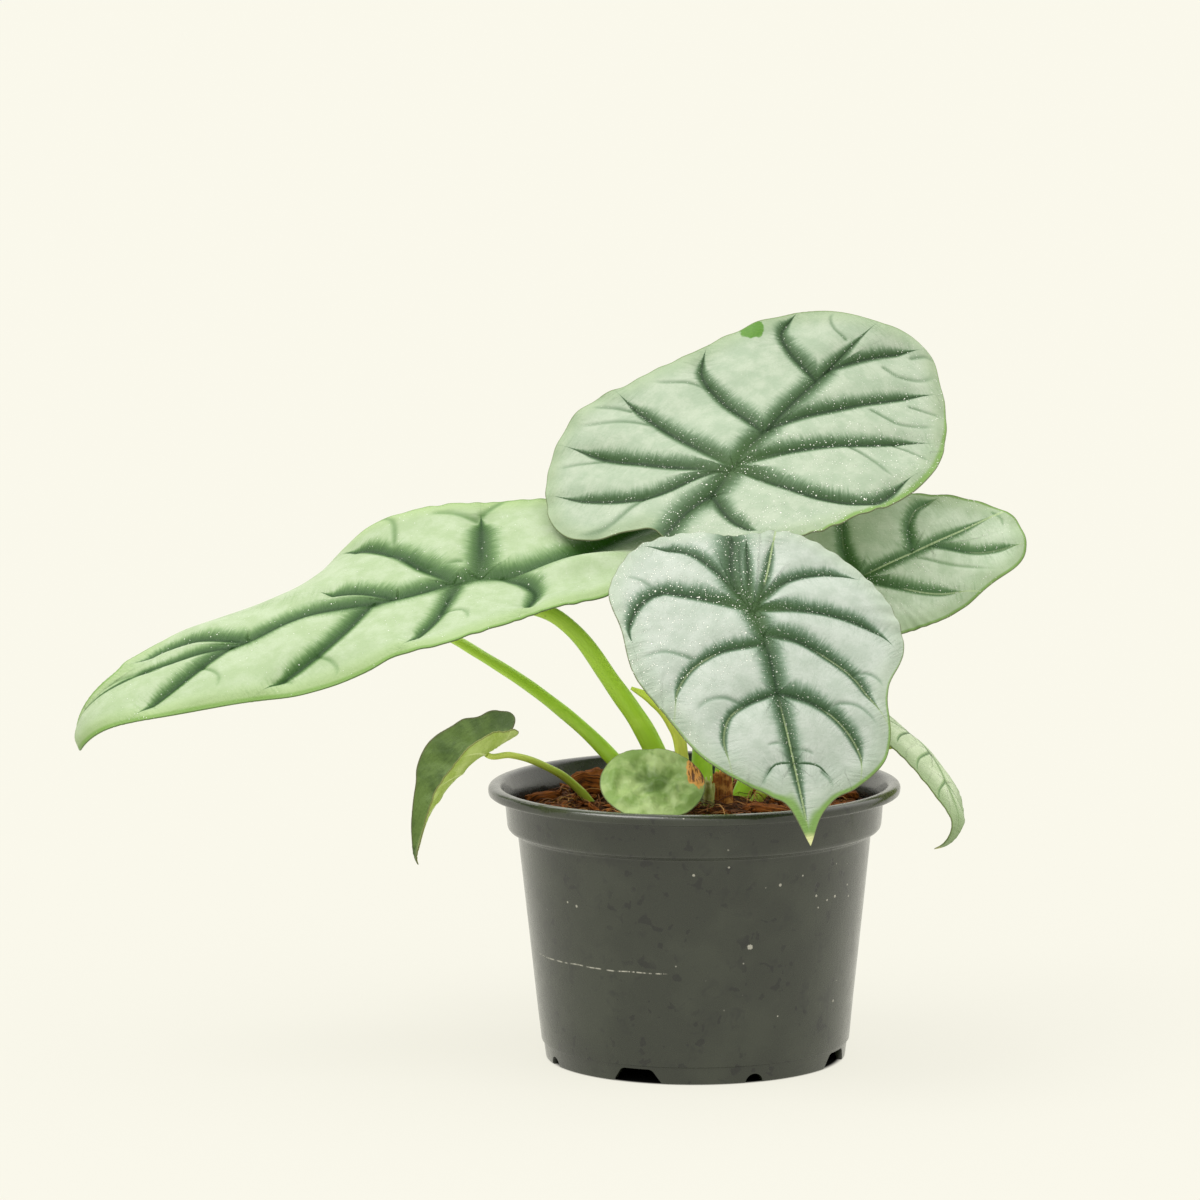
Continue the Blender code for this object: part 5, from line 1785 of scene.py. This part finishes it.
@dataclass
class NurseryPot:
    """The nursery pot: rim ring, band, tapered wall, notched foot and drained floor."""

    rim_radius: float = 76.2
    rim_top: float = 102.3
    rim_depth: float = 3.9
    band_radius: float = 70.0
    band_bottom: float = 85.0
    wall_top: float = 65.3
    wall_foot: float = 57.2
    foot_height: float = 6.6
    foot_radius: float = 55.6
    wall: float = 1.6
    floor_top: float = 6.0
    floor_under: float = 4.4
    pad_radius: float = 14.0
    drain_ring: float = 34.0
    segments: int = 176
    wall_steps: int = 10

    NOTCHES = 8
    DRAIN_HOLES = 4
    SHARP_ANGLE = 38.0

    def section(self) -> list[FlatPoint]:
        """Return the section, from the axis below, round the outside, to the axis inside."""
        def run(x: float, z: float, *steps: float) -> list[FlatPoint]:
            """Return points at steps across and up from a corner, given in one row."""
            return [(x + across, z + up) for across, up in zip(steps[::2], steps[1::2])]

        rim, top, band = self.rim_radius, self.rim_top, self.band_radius
        bottom, wall, foot = self.band_bottom, self.wall_top, self.foot_radius
        under, step, thick = top - self.rim_depth, self.foot_height, self.wall
        rise = (wall - self.wall_foot, bottom - 2.2 - step)
        shares = [count / self.wall_steps for count in range(1, self.wall_steps + 1)]
        return [
            *run(0.0, 0.0, 0, 0), *run(self.pad_radius, 0.0, -0.9, 0, -0.4, 0.2),
            *run(self.pad_radius, self.floor_under, 0, -0.4, 0.5, 0),
            *run(foot, self.floor_under, -2.8, 0, -2.3, -0.5),
            *run(foot, 0.0, -2.3, 0.6, -1.9, 0.08, -1.3, 0, -0.6, 0, -0.1, 0.25, 0.05, 0.7),
            *run(foot, step, 0.75, -0.6, 0.85, -0.25, 1.2, -0.05),
            *run(self.wall_foot, step, -0.1, 0.15, 0, 0.5),
            *((self.wall_foot + rise[0] * share, step + 0.5 + rise[1] * share)
              for share in shares),
            *run(wall, bottom, 0.12, -1.2, 0.5, -0.65, 1.2, -0.4),
            *run(band, bottom, -3.2, -0.05, -2.4, 0.1, -1.7, 0.45, -1.15, 1.1, -0.8, 2.2,
                 -0.4, 7.0),
            *run(band, under, 0, -1.7, 0.15, -0.9, 0.6, -0.45, 1.4, -0.25),
            *run(rim, under, -1.5, -0.05, -0.7, 0.05, -0.25, 0.4, -0.08, 0.9),
            *run(rim, top, 0, -1.9, -0.1, -1.3, -0.45, -0.75, -1.0, -0.38, -1.7, -0.12,
                 -2.6, 0, -3.4, -0.06, -4.1, -0.3, -4.7, -0.8, -5.1, -1.5),
            *run(band - thick, under, 0.9, -1.0, 0, -3.0),
            *run(band - thick, bottom, -0.25, 6.0, -0.5, 3.4, -1.1, 2.0, -2.0, 1.5),
            *run(wall - thick, bottom, 1.4, 1.1, 0.6, 0.5, 0.15, -0.6, 0, -2.4),
            *run(self.wall_foot - thick, self.floor_top, 0.1, 1.2, -0.3, 0.4, -1.1, 0),
            (0.0, self.floor_top)]

    def cutters(self) -> list[Item]:
        """Return the blocks that cut the foot's notches and the floor's drain holes."""
        made = []
        ring = self.foot_radius - 1.0
        for index in range(self.NOTCHES):
            turn = math.radians((index - 0.5) * 360.0 / self.NOTCHES)
            shape = bmesh.new()
            if index % 2:
                bmesh.ops.create_cone(shape, cap_ends=True, segments=24, radius1=3.4,
                                      radius2=3.4, depth=9.0)
                bmesh.ops.rotate(shape, verts=shape.verts,
                                 matrix=Matrix.Rotation(math.radians(90.0), 3, "X"))
            else:
                bmesh.ops.create_cube(shape, size=1.0)
                for vertex in shape.verts:
                    low = vertex.co.z < 0.0
                    vertex.co = (vertex.co.x * (22.0 if low else 11.8), vertex.co.y * 9.0,
                                 -2.0 if low else 5.4)
                corners = [edge for edge in shape.edges
                           if all(vertex.co.z > 0.0 for vertex in edge.verts)
                           and abs(edge.verts[0].co.x - edge.verts[1].co.x) < 0.1]
                bmesh.ops.bevel(shape, geom=corners, offset=1.2, segments=3, profile=0.5,
                                affect="EDGES", material=-1)
            made.append(self.cutter(shape, turn, ring, turn, 0.0))
        for index in range(self.DRAIN_HOLES):
            way = math.radians(index * 360.0 / self.DRAIN_HOLES)
            shape = bmesh.new()
            bmesh.ops.create_cone(shape, cap_ends=True, segments=28, radius1=4.5,
                                  radius2=4.5, depth=8.0)
            made.append(self.cutter(shape, 0.0, self.drain_ring, way, self.floor_under))
        return made

    @staticmethod
    def cutter(shape: Shape, turn: float, ring: float, way: float, level: float) -> Item:
        """Return a cutter turned about Z and moved out to a ring, in a way from the front."""
        place = (ring * math.sin(way), -ring * math.cos(way), level)
        bmesh.ops.rotate(shape, verts=shape.verts, matrix=Matrix.Rotation(turn, 3, "Z"))
        bmesh.ops.translate(shape, verts=shape.verts, vec=place)
        bmesh.ops.scale(shape, verts=shape.verts, vec=(MM, MM, MM))
        return link("pot_cutter", write_mesh(shape, "pot_cutter"))

    def build(self, outside: Paint, inside: Paint) -> Item:
        """Build the pot and return its object.

        Args:
            outside: Finish of the rim, the outer wall and the floor.
            inside: Finish of the faces that look towards the pot's axis, the same plastic made
                darker: painted shade inside the pot.

        Returns:
            The pot's object.
        """
        shape = bmesh.new()
        verts = [shape.verts.new((x * MM, 0.0, z * MM)) for x, z in self.section()]
        edges = [shape.edges.new(pair) for pair in zip(verts, verts[1:])]
        bmesh.ops.spin(shape, geom=verts + edges, cent=(0, 0, 0), axis=(0, 0, 1), dvec=(0, 0, 0),
                       angle=2.0 * math.pi, steps=self.segments, use_merge=True,
                       use_duplicate=False)
        bmesh.ops.remove_doubles(shape, verts=shape.verts, dist=0.00002)
        bmesh.ops.recalc_face_normals(shape, faces=shape.faces)
        for vertex in shape.verts:
            turn = math.atan2(vertex.co.x, -vertex.co.y)
            level = vertex.co.z / MM
            share = min(1.0, max(0.0, (level - 8.0) / 12.0)) * min(1.0, (103.0 - level) / 8.0)
            swell = 0.13 * math.sin(3.0 * turn + 0.8) + 0.06 * math.sin(7.0 * turn + level / 19.0)
            vertex.co.x += swell * share * MM * math.sin(turn)
            vertex.co.y -= swell * share * MM * math.cos(turn)
        item = link("pot_blank", write_mesh(shape, "nursery_pot"))
        cutters = self.cutters()
        for cutter in cutters:
            modifier = item.modifiers.new("cut", "BOOLEAN")
            modifier.operation = "DIFFERENCE"
            modifier.solver = "EXACT"
            modifier.object = cutter
        graph = bpy.context.evaluated_depsgraph_get()
        mesh = bpy.data.meshes.new_from_object(item.evaluated_get(graph))
        for spare in [item, *cutters]:
            bpy.data.objects.remove(spare, do_unlink=True)
        mesh.materials.clear()
        # Faces that look towards the axis take the darker inside finish, which is painted shade.
        for face in mesh.polygons:
            radial = face.normal.xy.dot(face.center.xy)
            face.material_index = int(radial < -0.5 * face.center.xy.length)
        pot = add_piece("nursery_pot", mesh, Slot.POT, ("nursery_pot",), outside, inside)
        mesh.set_sharp_from_angle(angle=math.radians(self.SHARP_ANGLE))
        return pot


class PottingMix:
    """The coir mix: its bed, the husk chunks, crumbs and loose fibres, and the crown."""

    MOUND = ((0.0, 96.6), (14.0, 96.4), (36.0, 95.2), (54.0, 93.8), (67.7, 92.4))
    SIDE = ((67.0, 92.4), (67.7, 91.0), (67.4, 88.1), (66.6, 87.0), (64.3, 86.4),
            (63.3, 82.9), (55.2, 7.6), (54.0, 6.4), (0.0, 6.4))
    CHIPS = (
        ((-56.0, 13.0), 14.0, 7.0, 3.0, 25.0), ((-38.5, 14.0), 15.0, 11.0, 9.5, -20.0),
        ((-26.0, 44.0), 14.0, 7.5, 2.6, 70.0), ((-50.0, -16.0), 13.0, 6.0, 2.4, 110.0),
        ((6.0, 45.0), 16.0, 8.0, 2.8, 5.0), ((34.0, 36.0), 17.0, 7.0, 3.0, 40.0),
        ((56.0, 15.0), 14.0, 8.0, 3.6, -65.0), ((50.0, -16.0), 16.0, 7.0, 2.6, 20.0),
        ((27.0, -27.0), 18.0, 8.0, 2.8, -15.0), ((13.0, -47.0), 14.0, 6.5, 2.4, 50.0),
        ((-38.0, -44.0), 12.0, 6.0, 2.2, -10.0), ((34.0, 9.0), 12.0, 6.5, 2.8, 80.0))
    CHIP_DETAIL = (5, 5, 4, 4, 4, 4, 4, 5, 5, 5, 4, 4)
    CRUMB_DOUBLINGS = 7
    FIBRE_DOUBLINGS = 10
    FIBRE_REACH = 66.3
    COPY_GAP = 4.0
    CRUMB_SPOTS = (63.0, 7.0)
    FIBRE_SPOTS = (62.0, 5.0)
    CROWN_SIZE = (20.0, 20.0, 17.0)
    CROWN_CENTRE = (0.0, 0.0, 82.0)

    @classmethod
    def level(cls, radius: Array) -> Array:
        """Return the height of the mix at distances from the pot's axis."""
        return np.interp(radius, *zip(*cls.MOUND))

    @classmethod
    def lumps(cls, x: Array, y: Array) -> Array:
        """Return how far the mix's lumps rise above its level at points."""
        flat = np.stack([x, y, np.full(len(x), 3.0)], -1)
        return 1.1 * turbulence(flat, 0.13) + 0.45 * turbulence(flat, 0.5, 2)

    def bed(self, material: Paint) -> Item:
        """Build the bed of the mix, lumpy on top."""
        section = np.array(self.MOUND[:-1] + self.SIDE)
        radii, heights = section.T
        stations = stations_of(section)
        shares = np.concatenate((np.linspace(0.0, 67.5, 49), np.linspace(69.0, stations[-1], 15)))

        def place(around: Array, run: Array) -> Array:
            """Return the bed's points."""
            where = shares[np.rint(run * (len(shares) - 1)).astype(int)]
            radius = np.interp(where, stations, radii)
            height = np.interp(where, stations, heights)
            turn = around * 2.0 * math.pi
            x, y = radius * np.cos(turn), radius * np.sin(turn)
            top = smooth_share((66.5 - where) / 5.0)
            return np.stack([x, y, height + top * (self.lumps(x, y) - 0.3)], -1)

        mesh = write_mesh(wrapped_grid(150, len(shares) - 1, place), "potting_mix")
        return add_piece("potting_mix", mesh, Slot.MIX, ("potting_mix",), material)

    def chip(self, index: int, material: Paint) -> Item:
        """Build one fibrous chunk of husk.

        Args:
            index: Its place in CHIPS.
            material: Its finish.

        Returns:
            The chunk's object.
        """
        centre, length, width, thickness, turn = self.CHIPS[index]
        name = f"husk_chip_{index + 1:02d}"
        shape = bmesh.new()
        bmesh.ops.create_icosphere(shape, subdivisions=self.CHIP_DETAIL[index], radius=1.0)
        mesh = write_mesh(shape, name)
        ball = read_points(mesh) * MM
        boxy = np.sign(ball) * np.abs(ball) ** np.array((0.75, 0.62, 0.6))
        along = boxy[:, 0] * length / 2.0
        side = boxy[:, 1] * width / 2.0
        rise = (boxy[:, 2] + 1.0) * thickness / 2.0
        threads = np.stack([along * 0.10, side * 0.9, rise * 0.9 + index * 9.0], -1)
        rough = turbulence(threads, 1.0)
        coarse = turbulence(np.stack([along, side, rise + 50.0 * index], -1), 0.22, 2)
        side = side * (1.0 + 0.14 * coarse) + 0.35 * rough * ball[:, 1]
        rise = rise * (1.0 + 0.16 * coarse) + 0.45 * rough * np.clip(ball[:, 2] + 0.4, 0, 1)
        along = along + 1.1 * turbulence(np.stack([along * 0, side, rise], -1), 0.6, 2) * (
            np.abs(ball[:, 0]) ** 3)
        x, y = turned(along, side, math.radians(turn))
        x, y = x + centre[0], y + centre[1]
        write_points(mesh, np.stack([x, y, self.level(np.hypot(x, y)) + 0.1 + rise], -1))
        tint = np.full(len(x), (0.37 * index) % 1.0)
        write_attribute(mesh, "coir_grain", along, side + rise * 0.7, tint)
        return add_piece(name, mesh, Slot.HUSK, (name,), material)

    @classmethod
    def copies(cls, shape: Shape, doublings: int, name: str) -> tuple[Mesh, Array, Array]:
        """Repeat a small shape and tell its copies apart.

        Args:
            shape: The shape, within 1 unit of its centre.
            doublings: How often the whole is doubled.
            name: The mesh's name.

        Returns:
            The mesh, each point's own place in its shape and the number of its copy.
        """
        for turn in range(doublings):
            made = bmesh.ops.duplicate(shape, geom=shape.verts[:] + shape.edges[:]
                                       + shape.faces[:])
            new = [part for part in made["geom"] if isinstance(part, bmesh.types.BMVert)]
            bmesh.ops.translate(shape, verts=new, vec=(0.0, 0.0, cls.COPY_GAP * 2 ** turn))
        mesh = write_mesh(shape, name)
        points = read_points(mesh) * MM
        number = np.rint(points[:, 2] / cls.COPY_GAP).astype(int)
        points[:, 2] -= number * cls.COPY_GAP
        return mesh, points, number

    def free_spots(self, count: int, dice: np.random.Generator, reach: float,
                   clear: float) -> Array:
        """Return random places on the mix that keep clear of the stalks.

        Args:
            count: How many places.
            dice: The random generator.
            reach: Greatest distance from the axis.
            clear: Least distance to a stalk's foot.

        Returns:
            The places, one per row.
        """
        feet = np.array([points[0][:2] for _, points, _, _ in Stalks.PETIOLES.values()])
        spots: list[Array] = []
        while len(spots) < count:
            angle = dice.uniform(0.0, 2.0 * math.pi)
            radius = reach * math.sqrt(dice.uniform(0.0, 1.0))
            spot = np.array((radius * math.cos(angle), radius * math.sin(angle)))
            if np.linalg.norm(feet - spot, axis=1).min() > clear:
                spots.append(spot)
        return np.array(spots)

    def crumbs(self, material: Paint) -> Item:
        """Build the small crumbs of husk that lie between the chunks."""
        count = 2 ** self.CRUMB_DOUBLINGS
        dice = np.random.default_rng(501)
        shape = bmesh.new()
        bmesh.ops.create_icosphere(shape, subdivisions=2, radius=1.0)
        mesh, local, number = self.copies(shape, self.CRUMB_DOUBLINGS, "coir_crumbs")
        spots = self.free_spots(count, dice, *self.CRUMB_SPOTS)
        sizes = np.stack([dice.uniform(1.6, 4.6, count), dice.uniform(0.9, 2.2, count),
                          dice.uniform(0.5, 1.3, count)], -1)
        turns = dice.uniform(0.0, math.pi, count)
        tilts = dice.normal(0.0, 0.25, (count, 2))
        rough = turbulence(local + number[:, None] * 3.1, 0.9, 2)
        body = np.sign(local) * np.abs(local) ** 0.8 * (1.0 + 0.35 * rough)[:, None]
        body = body * sizes[number]
        x, y = turned(body[:, 0], body[:, 1], turns[number])
        x, y = x + spots[number, 0], y + spots[number, 1]
        lift = self.level(np.hypot(*spots.T)) + self.lumps(*spots.T) + sizes[:, 2] * 0.5
        z = lift[number] + body[:, 2] + tilts[number, 0] * body[:, 0]
        write_points(mesh, np.stack([x, y, z], -1))
        tint = dice.uniform(0.0, 1.0, count)
        write_attribute(mesh, "coir_grain", body[:, 0] + number * 5.0, body[:, 1] + body[:, 2],
                        tint[number])
        return add_piece("coir_crumbs", mesh, Slot.HUSK, (), material)

    def fibres(self, material: Paint) -> Item:
        """Build the loose coir fibres that lie over the mix."""
        count = 2 ** self.FIBRE_DOUBLINGS
        dice = np.random.default_rng(777)
        shape = bmesh.new()
        bmesh.ops.create_grid(shape, x_segments=3, y_segments=6, size=1.0)
        for vertex in shape.verts:
            turn = (vertex.co.x + 1.0) * math.pi
            size = math.sqrt(max(0.0, 1.0 - vertex.co.y ** 6))
            vertex.co = (0.5 * size * math.cos(turn), vertex.co.y, 0.5 * size * math.sin(turn))
        bmesh.ops.remove_doubles(shape, verts=shape.verts, dist=0.0001)
        bmesh.ops.recalc_face_normals(shape, faces=shape.faces)
        mesh, local, number = self.copies(shape, self.FIBRE_DOUBLINGS, "coir_fibres")
        spots = self.free_spots(count, dice, *self.FIBRE_SPOTS)
        length = dice.gamma(4.0, 2.0, count) + 2.5
        turns = dice.uniform(0.0, 2.0 * math.pi, count)
        bow = dice.normal(0.0, 0.16, count)
        lift = dice.gamma(1.3, 0.8, count)
        size = dice.uniform(0.10, 0.26, count)
        tint = dice.uniform(0.0, 1.0, count) ** 1.3
        size[np.hypot(*spots.T) < 16.0] *= 0.7
        run = local[:, 1]
        half = (length / 2.0)[number]
        along = run * half
        side = bow[number] * half * (run ** 2 - 0.4) + 0.25 * np.sin(run * 5.0 + number)
        x, y = turned(along, side, turns[number])
        x, y = x + spots[number, 0], y + spots[number, 1]
        limit = np.clip(np.hypot(x, y) / self.FIBRE_REACH, 1.0, None)
        x, y = x / limit, y / limit
        ground = self.level(np.hypot(x, y)) + self.lumps(x, y)
        arch = lift[number] * (1.0 - run ** 2) + 0.25
        across = local[:, [0, 2]] * 2.0 * size[number][:, None]
        wide, tall = turned(across[:, 0] * 0.0, across[:, 0], turns[number])
        write_points(mesh, np.stack([x + wide, y + tall, ground + arch + across[:, 1]], -1))
        write_attribute(mesh, "coir_grain", run, tint[number])
        return add_piece("coir_fibres", mesh, Slot.HUSK, (), material)

    def crown(self, material: Paint) -> Item:
        """Build the crown, a low dome of stem with ridges where leaves have wrapped it."""
        shape = bmesh.new()
        bmesh.ops.create_uvsphere(shape, u_segments=48, v_segments=28, radius=1.0)
        mesh = write_mesh(shape, "crown")
        ball = read_points(mesh) * MM
        turn = np.arctan2(ball[:, 1], ball[:, 0])
        ridge = 1.0 + 0.03 * np.sin(9.0 * turn + 2.0 * ball[:, 2]) + 0.03 * waves(61, 2.0, turn)
        points = ball * self.CROWN_SIZE * np.where(ball[:, 2] < 0.9, ridge, 1.0)[:, None]
        points += self.CROWN_CENTRE
        write_points(mesh, points)
        write_attribute(mesh, "stalk_run", (points[:, 2] - 65.0) / 34.0, turn * 3.0)
        return add_piece("crown", mesh, Slot.CROWN, ("crown",), material)

    def build(self) -> list[Item]:
        """Build the mix and all that lies in it."""
        husk = CoirSkin().make()
        made = [self.bed(MixBed().make()), self.crumbs(husk),
                self.fibres(FibreSkin().make()),
                self.crown(StalkSkin("crown_green", "6F7F35", "87973F",
                                     "93A24A", "5F4A25").make())]
        made += [self.chip(index, husk) for index in range(len(self.CHIPS))]
        dry = DryLeaf().make()
        pale = DryLeaf("pale_base", "E6E8A8/1.1", "C8D080/1.1", "A0B050/1.2").make()
        sheaths = (
            Sheath("dry_sheath", (-1.5, -19.5), 3.6, 14.0, 120.0, 260.0, 0.15, dry, Slot.DRY,
                   seed=71),
            Sheath("pale_sheath", (5.4, -16.0), 1.9, 10.5, 170.0, 200.0, 0.05, pale,
                   Slot.SHOOT, seed=72),
            Sheath("brown_sheath", (9.5, -7.0), 5.2, 13.0, 235.0, 100.0, 0.10, dry, Slot.DRY,
                   seed=73))
        return made + [sheath.build() for sheath in sheaths]


# ---------------------------------------------------------------- studio


@dataclass
class Studio:
    """The pale floor, the soft light and the camera."""

    backdrop: Colour = srgb("FBF9EC")
    zenith: Colour = (2.3, 2.28, 2.2)
    glow: Colour = (0.802, 0.785, 0.687)
    painted_shadow_radius: float = 53.0
    floor_size: float = 120.0
    sun_power: float = 1.6
    sun_spread: float = 34.0
    sun_from: Point = (-0.50, -0.20, 1.0)
    camera_place: Point = (0.0, -2.1, 0.444)
    lens: float = 172.5
    yaw: float = -0.0164
    pitch: float = 0.1296
    roll: float = -0.0063

    def floor(self) -> None:
        """Lay the floor just under the pot's foot."""
        shape = bmesh.new()
        bmesh.ops.create_grid(shape, x_segments=1, y_segments=1, size=self.floor_size / 2.0)
        bmesh.ops.translate(shape, verts=shape.verts, vec=(0.0, 0.0, -0.0001))
        item = link("studio_floor", write_mesh(shape, "studio_floor"))
        made = Material("studio_floor")
        graph = made.graph
        x, y, _ = graph.split(graph.place())
        # Under the pot the floor is near black and gives no glow: a painted shadow that keeps the
        # foot's notches and drain holes dark.
        clear = (x * x + y * y).above(self.painted_shadow_radius ** 2, (self.painted_shadow_radius + 3) ** 2)
        colour = graph.mix(clear, (0.01, 0.01, 0.01), (0.072, 0.072, 0.072))
        item.data.materials.append(made.finish(
            colour, 1.0, Specular_IOR_Level=0.0,
            Emission_Color=graph.mix(clear, (0.0, 0.0, 0.0), self.glow),
            Emission_Strength=1.0))

    def light(self) -> None:
        """Light the scene from all round and softly from the upper left."""
        world = bpy.data.worlds.new("studio")
        bpy.context.scene.world = world
        world.use_nodes = True
        graph = Graph(world.node_tree)
        _, _, height = graph.split(graph.wire(graph.node("TexCoord"), "Generated"))
        colour = graph.mix(height.most(0.0) ** 1.5, self.backdrop, self.zenith)
        shade = graph.node("Background", {}, {"Color": colour, "Strength": 1.0})
        graph.node("OutputWorld", {}, {"Surface": graph.wire(shade)})
        lamp = bpy.data.lights.new("soft_sun", "SUN")
        lamp.energy = self.sun_power
        lamp.angle = math.radians(self.sun_spread)
        lamp.color = (1.0, 0.985, 0.94)
        item = link("soft_sun", lamp)
        item.rotation_euler = Vector(self.sun_from).to_track_quat("Z", "Y").to_euler()

    def camera(self) -> None:
        """Place the camera where the photograph was taken from."""
        forward = Vector((math.sin(self.yaw) * math.cos(self.pitch),
                          math.cos(self.yaw) * math.cos(self.pitch), -math.sin(self.pitch)))
        level = Vector((math.cos(self.yaw), -math.sin(self.yaw), 0.0))
        above = level.cross(forward)
        right = level * math.cos(self.roll) + above * math.sin(self.roll)
        up = above * math.cos(self.roll) - level * math.sin(self.roll)
        data = bpy.data.cameras.new("photo_camera")
        data.lens = self.lens
        data.sensor_width = 36.0
        data.clip_start = 0.1
        data.clip_end = 200.0
        item = link("photo_camera", data)
        turn = Matrix((right, up, -forward)).transposed().to_4x4()
        item.matrix_world = Matrix.Translation(self.camera_place) @ turn
        bpy.context.scene.camera = item

    def build(self) -> None:
        """Build the whole studio."""
        self.floor()
        self.light()
        self.camera()
        bpy.context.scene.view_settings.view_transform = "Standard"
        bpy.context.scene.view_settings.look = "None"


def main() -> None:
    """Build the plant, its pot and the studio, in order."""
    logging.basicConfig(level=logging.INFO, format="%(name)s %(message)s")
    Studio().build()
    # The inside finish is the pot plastic made darker: painted shade in the pot.
    NurseryPot().build(PotPlastic().make(), PotPlastic(
        "pot_inside_painted_shade", "1C2118", "151912", "262B20").make())
    PottingMix().build()
    Stalks().build()
    Foliage().build()


if __name__ == "__main__":
    main()
